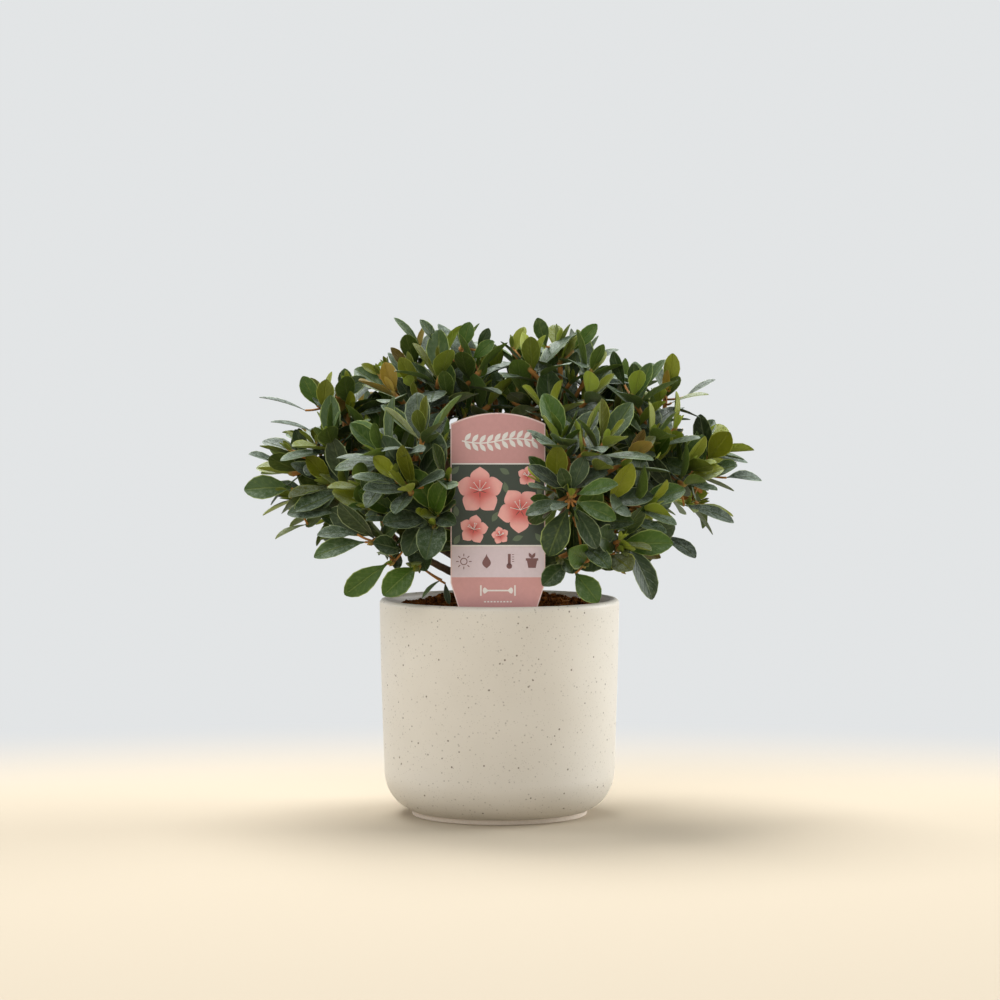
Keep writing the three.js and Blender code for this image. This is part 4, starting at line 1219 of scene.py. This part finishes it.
def fit_leaves(leaves, sure):
    """Which leaves stay, in order of rank, so that no trial blade cuts one that stayed before it. The first
    `sure` leaves have their place already."""
    tree = trial_tree(leaves)
    pairs = np.array(tree.overlap(tree)) // len(trial_quads)
    pairs = np.unique(pairs[pairs[:, 0] < pairs[:, 1]], axis=0)
    rivals = {}
    for first, second in pairs.tolist():
        rivals.setdefault(second, []).append(first)
    stays = clear_of_things(leaves)
    stays[:sure] = True
    for leaf in range(sure, len(stays)):
        if stays[leaf] and any(stays[rival] for rival in rivals.get(leaf, [])):
            stays[leaf] = False
    return stays


order = np.lexsort((leaves["age"], rank[leaves["shoot"]]))
waiting = pick(leaves, order)
settled = [outstanding]
for trial_size in TRIAL_SIZES:
    trial = dict(waiting, length=waiting["length"] * trial_size, width=waiting["width"] * trial_size)
    before = together(settled)
    stays = fit_leaves(together([before, trial]), len(before["foot"]))[len(before["foot"]):]
    settled.append(pick(trial, stays))
    waiting = pick(waiting, ~stays)
    print("size", trial_size, "settled", int(stays.sum()), "left over", len(waiting["foot"]))
leaves = together(settled)

# %% [markdown]
# ## Leaf colours
# Leaves of one plant differ: old ones are a dark cool green with a sheen, the newest are yellow-green, and
# some new shoots are bronze. Each kind is its own finish with a paler underside. The pattern follows the
# leaf's own u and v: a thin pale margin, partly a real pale rim and partly painted rim light, a pale midrib,
# faint side veins, and a fine down that dulls it. On top goes a grainy painted sheen: a leaf is painted
# paler where it faces up, as if it caught the light from above.

# %% Colour the leaves
# a pale blue-grey that is painted onto the upward faces of the leaves as a sheen of light from above
PAINTED_SHEEN_COLOUR = srgb(180, 194, 184)
UNDERSIDE_SHINE = 0.2


def shade(colour, factor):
    """A colour made darker or lighter."""
    return [factor * part for part in colour[:3]] + [1]


def leaf_paint(name, colour, pale, shine):
    """A leaf's finish. `pale` is the colour of its margin, partly painted rim light, and veins, `shine` how
    strongly it reflects.
    """
    paint = Paint(name, Specular_IOR_Level=shine, Sheen_Weight=0.02, Sheen_Roughness=0.35)
    along, across = paint.uv("X"), abs(paint.uv("Y") * 2 - 1)
    luck = paint.node("Attribute", {}, "Fac", attribute_name="luck")
    midrib = paint.ramp(across, 0.1, 0.03)
    # the pale margin is partly the leaf's own pale rim and partly painted rim light from behind
    margin_and_rim_light = paint.ramp(across, 0.9, 0.97)
    veins = paint.ramp(paint.maths("SINE", (along - across * 0.28) * 44), 0.55, 1.0)
    mottle = paint.noise(420, 3)
    down = paint.noise(1500, 3, 0.6)
    # painted sheen: faces that point up are mixed towards the pale grey in a grainy pattern, standing in for
    # light from above, not a colour of the leaf
    faces_up = paint.ramp(paint.part(paint.node("TexCoord", {}, "Normal"), "Z"), 0.34, 0.95)
    body = paint.mix(luck, shade(colour, 0.42), shade(colour, 1.4))
    body = paint.mix(paint.ramp(mottle, 0.45, 0.8) * 0.12, body, pale)
    painted_sheen = (0.04 + 0.5 * paint.ramp(down * 0.6 + mottle * 0.4, 0.36, 0.72)) * (1 - 0.8 * midrib)
    body = paint.mix(faces_up * painted_sheen, body, PAINTED_SHEEN_COLOUR)
    return paint.finish(
        Base_Color=paint.mix(midrib * 0.16 + margin_and_rim_light * 0.75 + veins * 0.03, body, pale),
        Roughness=0.36 + 0.14 * mottle + 0.1 * down,
        Normal=paint.bump(mottle * 0.5 + down * 0.35 - midrib * 1.2 - veins * 0.3, 0.00022),
    )


# each kind's colour and veins on its upper side, the shine there, and its colour and veins underneath
LEAF_KINDS = {
    "dark": (srgb(36, 54, 14), srgb(154, 166, 118), 0.34, srgb(78, 98, 44), srgb(140, 152, 96)),
    "mature": (srgb(54, 80, 10), srgb(160, 174, 96), 0.3, srgb(88, 110, 40), srgb(148, 162, 92)),
    "olive": (srgb(106, 112, 14), srgb(164, 168, 70), 0.26, srgb(118, 132, 42), srgb(164, 174, 90)),
    "fresh": (srgb(142, 150, 42), srgb(188, 194, 104), 0.28, srgb(148, 162, 62), srgb(192, 202, 120)),
    "bronze": (srgb(126, 104, 28), srgb(176, 146, 72), 0.28, srgb(152, 130, 58), srgb(190, 156, 90)),
}
masses = sorted(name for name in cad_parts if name.startswith("foliage_"))
for kind, (name, (upper, veins, shine, under, under_veins)) in enumerate(LEAF_KINDS.items()):
    some = pick(leaves, leaves["kind"] == kind)
    count = len(some["foot"])
    looks = [leaf_paint("leaf " + name, upper, veins, shine),
             leaf_paint("leaf underside " + name, under, under_veins, UNDERSIDE_SHINE)]
    faces = [repeat_faces(part, count, LEAF_POINTS) for part in leaf_faces]
    look_of_face = np.concatenate([np.tile(part, count) for part in under_faces])
    uv, luck = np.tile(leaf_uv, (count, 1)), np.repeat(some["luck"], LEAF_POINTS)
    piece = add_piece("leaves_" + name, leaf_meshes(some).reshape(-1, 3), faces, looks,
                      look_of_face, uv, luck, crease=75)
    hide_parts(*masses)

# %% [markdown]
# ## Wood
# The stem and limbs have thin brown-grey bark with long shallow furrows. The young shoots are smoother and
# orange-brown, with fine hairs. All are tubes along curves: rings set square to the path, with a relief
# that runs along it. The shoots start inside the limbs, and every tube closes in a point.

# %% Carry rings along the curves
def tubes(curves, radii, sides):
    """Round limbs along many curves. curves (n, k, 3) are the stations and radii (n, k, sides) reach out
    from them. Gives points, faces and uv, whose u is the share of the length."""
    run = unit(np.gradient(curves, axis=1))
    flat = np.cross(run[:, 0], run[:, -1])
    flat = np.where(np.linalg.norm(flat, axis=-1, keepdims=True) < 1e-3, [[0.3, 1, 0.1]], flat)
    side = unit(np.cross(flat[:, None], run))
    other = np.cross(run, side)
    angle = full_turn(sides)
    around = side[:, :, None] * np.cos(angle)[:, None] + other[:, :, None] * np.sin(angle)[:, None]
    rings = curves[:, :, None] + around * radii[..., None]
    start = curves[:, 0] - run[:, 0] * radii[:, 0, :1] * 0.5
    end = curves[:, -1] + run[:, -1] * radii[:, -1, :1] * 0.7
    count, stations = curves.shape[:2]
    points = np.concatenate([rings.reshape(count, -1, 3), start[:, None], end[:, None]], axis=1)
    share = np.concatenate([np.repeat(np.linspace(0, 1, stations), sides), [0, 1]])
    uv = np.stack([np.tile(share, count), np.zeros(len(share) * count)], axis=-1)
    faces = [repeat_faces(some, count, points.shape[1]) for some in tube_faces(stations, sides)]
    return points.reshape(-1, 3), faces, uv


def furrows(stations, sides, length, seed):
    """Relief of bark, about -1 to 1: waves round the limb that wander along it, sharpened into furrows."""
    dice = np.random.default_rng(seed)
    angle = full_turn(sides)
    s = np.linspace(0, length, stations)[:, None]
    relief = np.zeros((stations, sides))
    for ripple in range(7):
        turns = dice.integers(2, 9)
        drift = dice.uniform(-0.35, 0.35)
        relief += np.abs(np.sin(turns * angle / 2 + s * drift + dice.uniform(0, 6))) - 0.6
    return relief / 3 + 0.3 * np.sin(s * 0.9 + angle)


STEM_STATIONS = 40
STEM_SIDES = 36
ROUNDING_START = 0.92
stem_share = np.linspace(0, 1, STEM_STATIONS)
stem_curve = along_curve(stem_foot, stem_bend, stem_top, stem_share)
stem_radii = TRUNK_RADIUS + TRUNK_FLARE * (1 - stem_share) ** 3
rounding = np.sqrt(np.maximum(1 - ((stem_share - ROUNDING_START) / 0.12) ** 2, 0.2))
stem_radii = stem_radii * np.where(stem_share > ROUNDING_START, rounding, 1)
stem_relief = stem_radii[:, None] + 0.35 * furrows(STEM_STATIONS, STEM_SIDES, TRUNK_HEIGHT, 3)
stem_tube = tubes(stem_curve, stem_relief[None], STEM_SIDES)

LIMB_STATIONS = 70
LIMB_SIDES = 14
limb_share = np.linspace(0, 1, LIMB_STATIONS)
limb_curves = along_curve(limb_root, limb_bend, HUBS, limb_share)
limb_reliefs = np.stack([furrows(LIMB_STATIONS, LIMB_SIDES, 90, 20 + lobe) for lobe in range(len(LOBES))])
limb_radii = (BOUGH_FOOT_RADIUS + (BOUGH_TIP_RADIUS - BOUGH_FOOT_RADIUS) * limb_share)[None, :, None]
limb_radii = limb_radii * (1 + 0.09 * limb_reliefs)
limb_tubes = tubes(limb_curves, limb_radii, LIMB_SIDES)

# %% [markdown]
# Only twigs that carry two leaves or a listed leaf's stalk are kept. Each shoot thickens a little where
# its whorl sits, and ends in a small scaly bud.

# %% Make the shoots and buds
SHOOT_STATIONS = 9
SHOOT_SIDES = 7
STALK_RADIUS = 0.62
BUD_SIDES = 6
BUD_LENGTH = 5.2
BUD_PROFILE = np.array([0.8, 1.25, 1.35, 1.05, 0.6, 0.2])
leaves_on = np.bincount(leaves["shoot"][leaves["age"] > 0], minlength=len(root))
leafy = leaves_on >= 2
leafy[outstanding["shoot"]] = True
shoot_share = np.linspace(0, 1, SHOOT_STATIONS)
shoot_curves = along_curve(root[leafy], bend[leafy], tip[leafy], shoot_share)
shoot_radii = size[leafy][:, None, None] * (1.05 + 0.4 * smooth_step(shoot_share, 0.45, 0.95))[None, :, None]
shoot_radii = shoot_radii * (1 + 0.05 * np.sin(np.arange(SHOOT_SIDES) * 2.1 + 7 * shoot_share[:, None]))[None]
stalk_ends = outstanding["foot"] + outstanding["along"]
stalk_bends = (stalk_roots + stalk_ends) / 2 - UP
stalk_curves = along_curve(stalk_roots, stalk_bends, stalk_ends, shoot_share)
stalk_radii = np.full((len(stalk_ends), SHOOT_STATIONS, SHOOT_SIDES), STALK_RADIUS)
shoot_tubes = tubes(np.concatenate([shoot_curves, stalk_curves]), np.concatenate([shoot_radii, stalk_radii]),
                    SHOOT_SIDES)
bud_steps = np.linspace(0, 1, len(BUD_PROFILE)) * BUD_LENGTH - 1
bud_curves = tip[leafy][:, None] + axis[leafy][:, None] * bud_steps[None, :, None]
bud_radii = size[leafy][:, None, None] * BUD_PROFILE[None, :, None] + np.zeros(BUD_SIDES)
bud_tubes = tubes(bud_curves, bud_radii, BUD_SIDES)
print("leafy shoots:", int(leafy.sum()))


def add_wood(name, shape, paint_name, low, high, tip_colour):
    """A piece of wood. Its bark is rough and darker at the foot and has the tip's colour at the tip."""
    paint = Paint(paint_name)
    flakes = paint.noise(700, 4, 0.6)
    hairs = paint.noise(3000, 2)
    old = paint.mix(paint.ramp(flakes, 0.35, 0.7), low, high)
    bark = paint.finish(
        Base_Color=paint.mix(paint.ramp(paint.uv("X"), 0.2, 0.75), old, paint.mix(hairs, tip_colour, high)),
        Roughness=0.68 + 0.2 * flakes,
        Normal=paint.bump(flakes + 0.4 * hairs, 0.0003),
    )
    points, faces, uv = shape
    return add_piece(name, points, faces, [bark], uv=uv, crease=80)


limbs = merged([(stem_tube[0], stem_tube[1], 0 * stem_tube[2]), limb_tubes])
wood = add_wood("bark_of_limbs", limbs, "old bark", srgb(58, 46, 36), srgb(112, 92, 72), srgb(104, 78, 52))
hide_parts("trunk", *sorted(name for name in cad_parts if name.startswith("bough_")))
add_wood("young_shoots", shoot_tubes, "young bark", srgb(98, 70, 38), srgb(150, 104, 50), srgb(182, 122, 52))
add_wood("buds", bud_tubes, "bud scales", srgb(136, 104, 48), srgb(160, 130, 62), srgb(158, 138, 66))
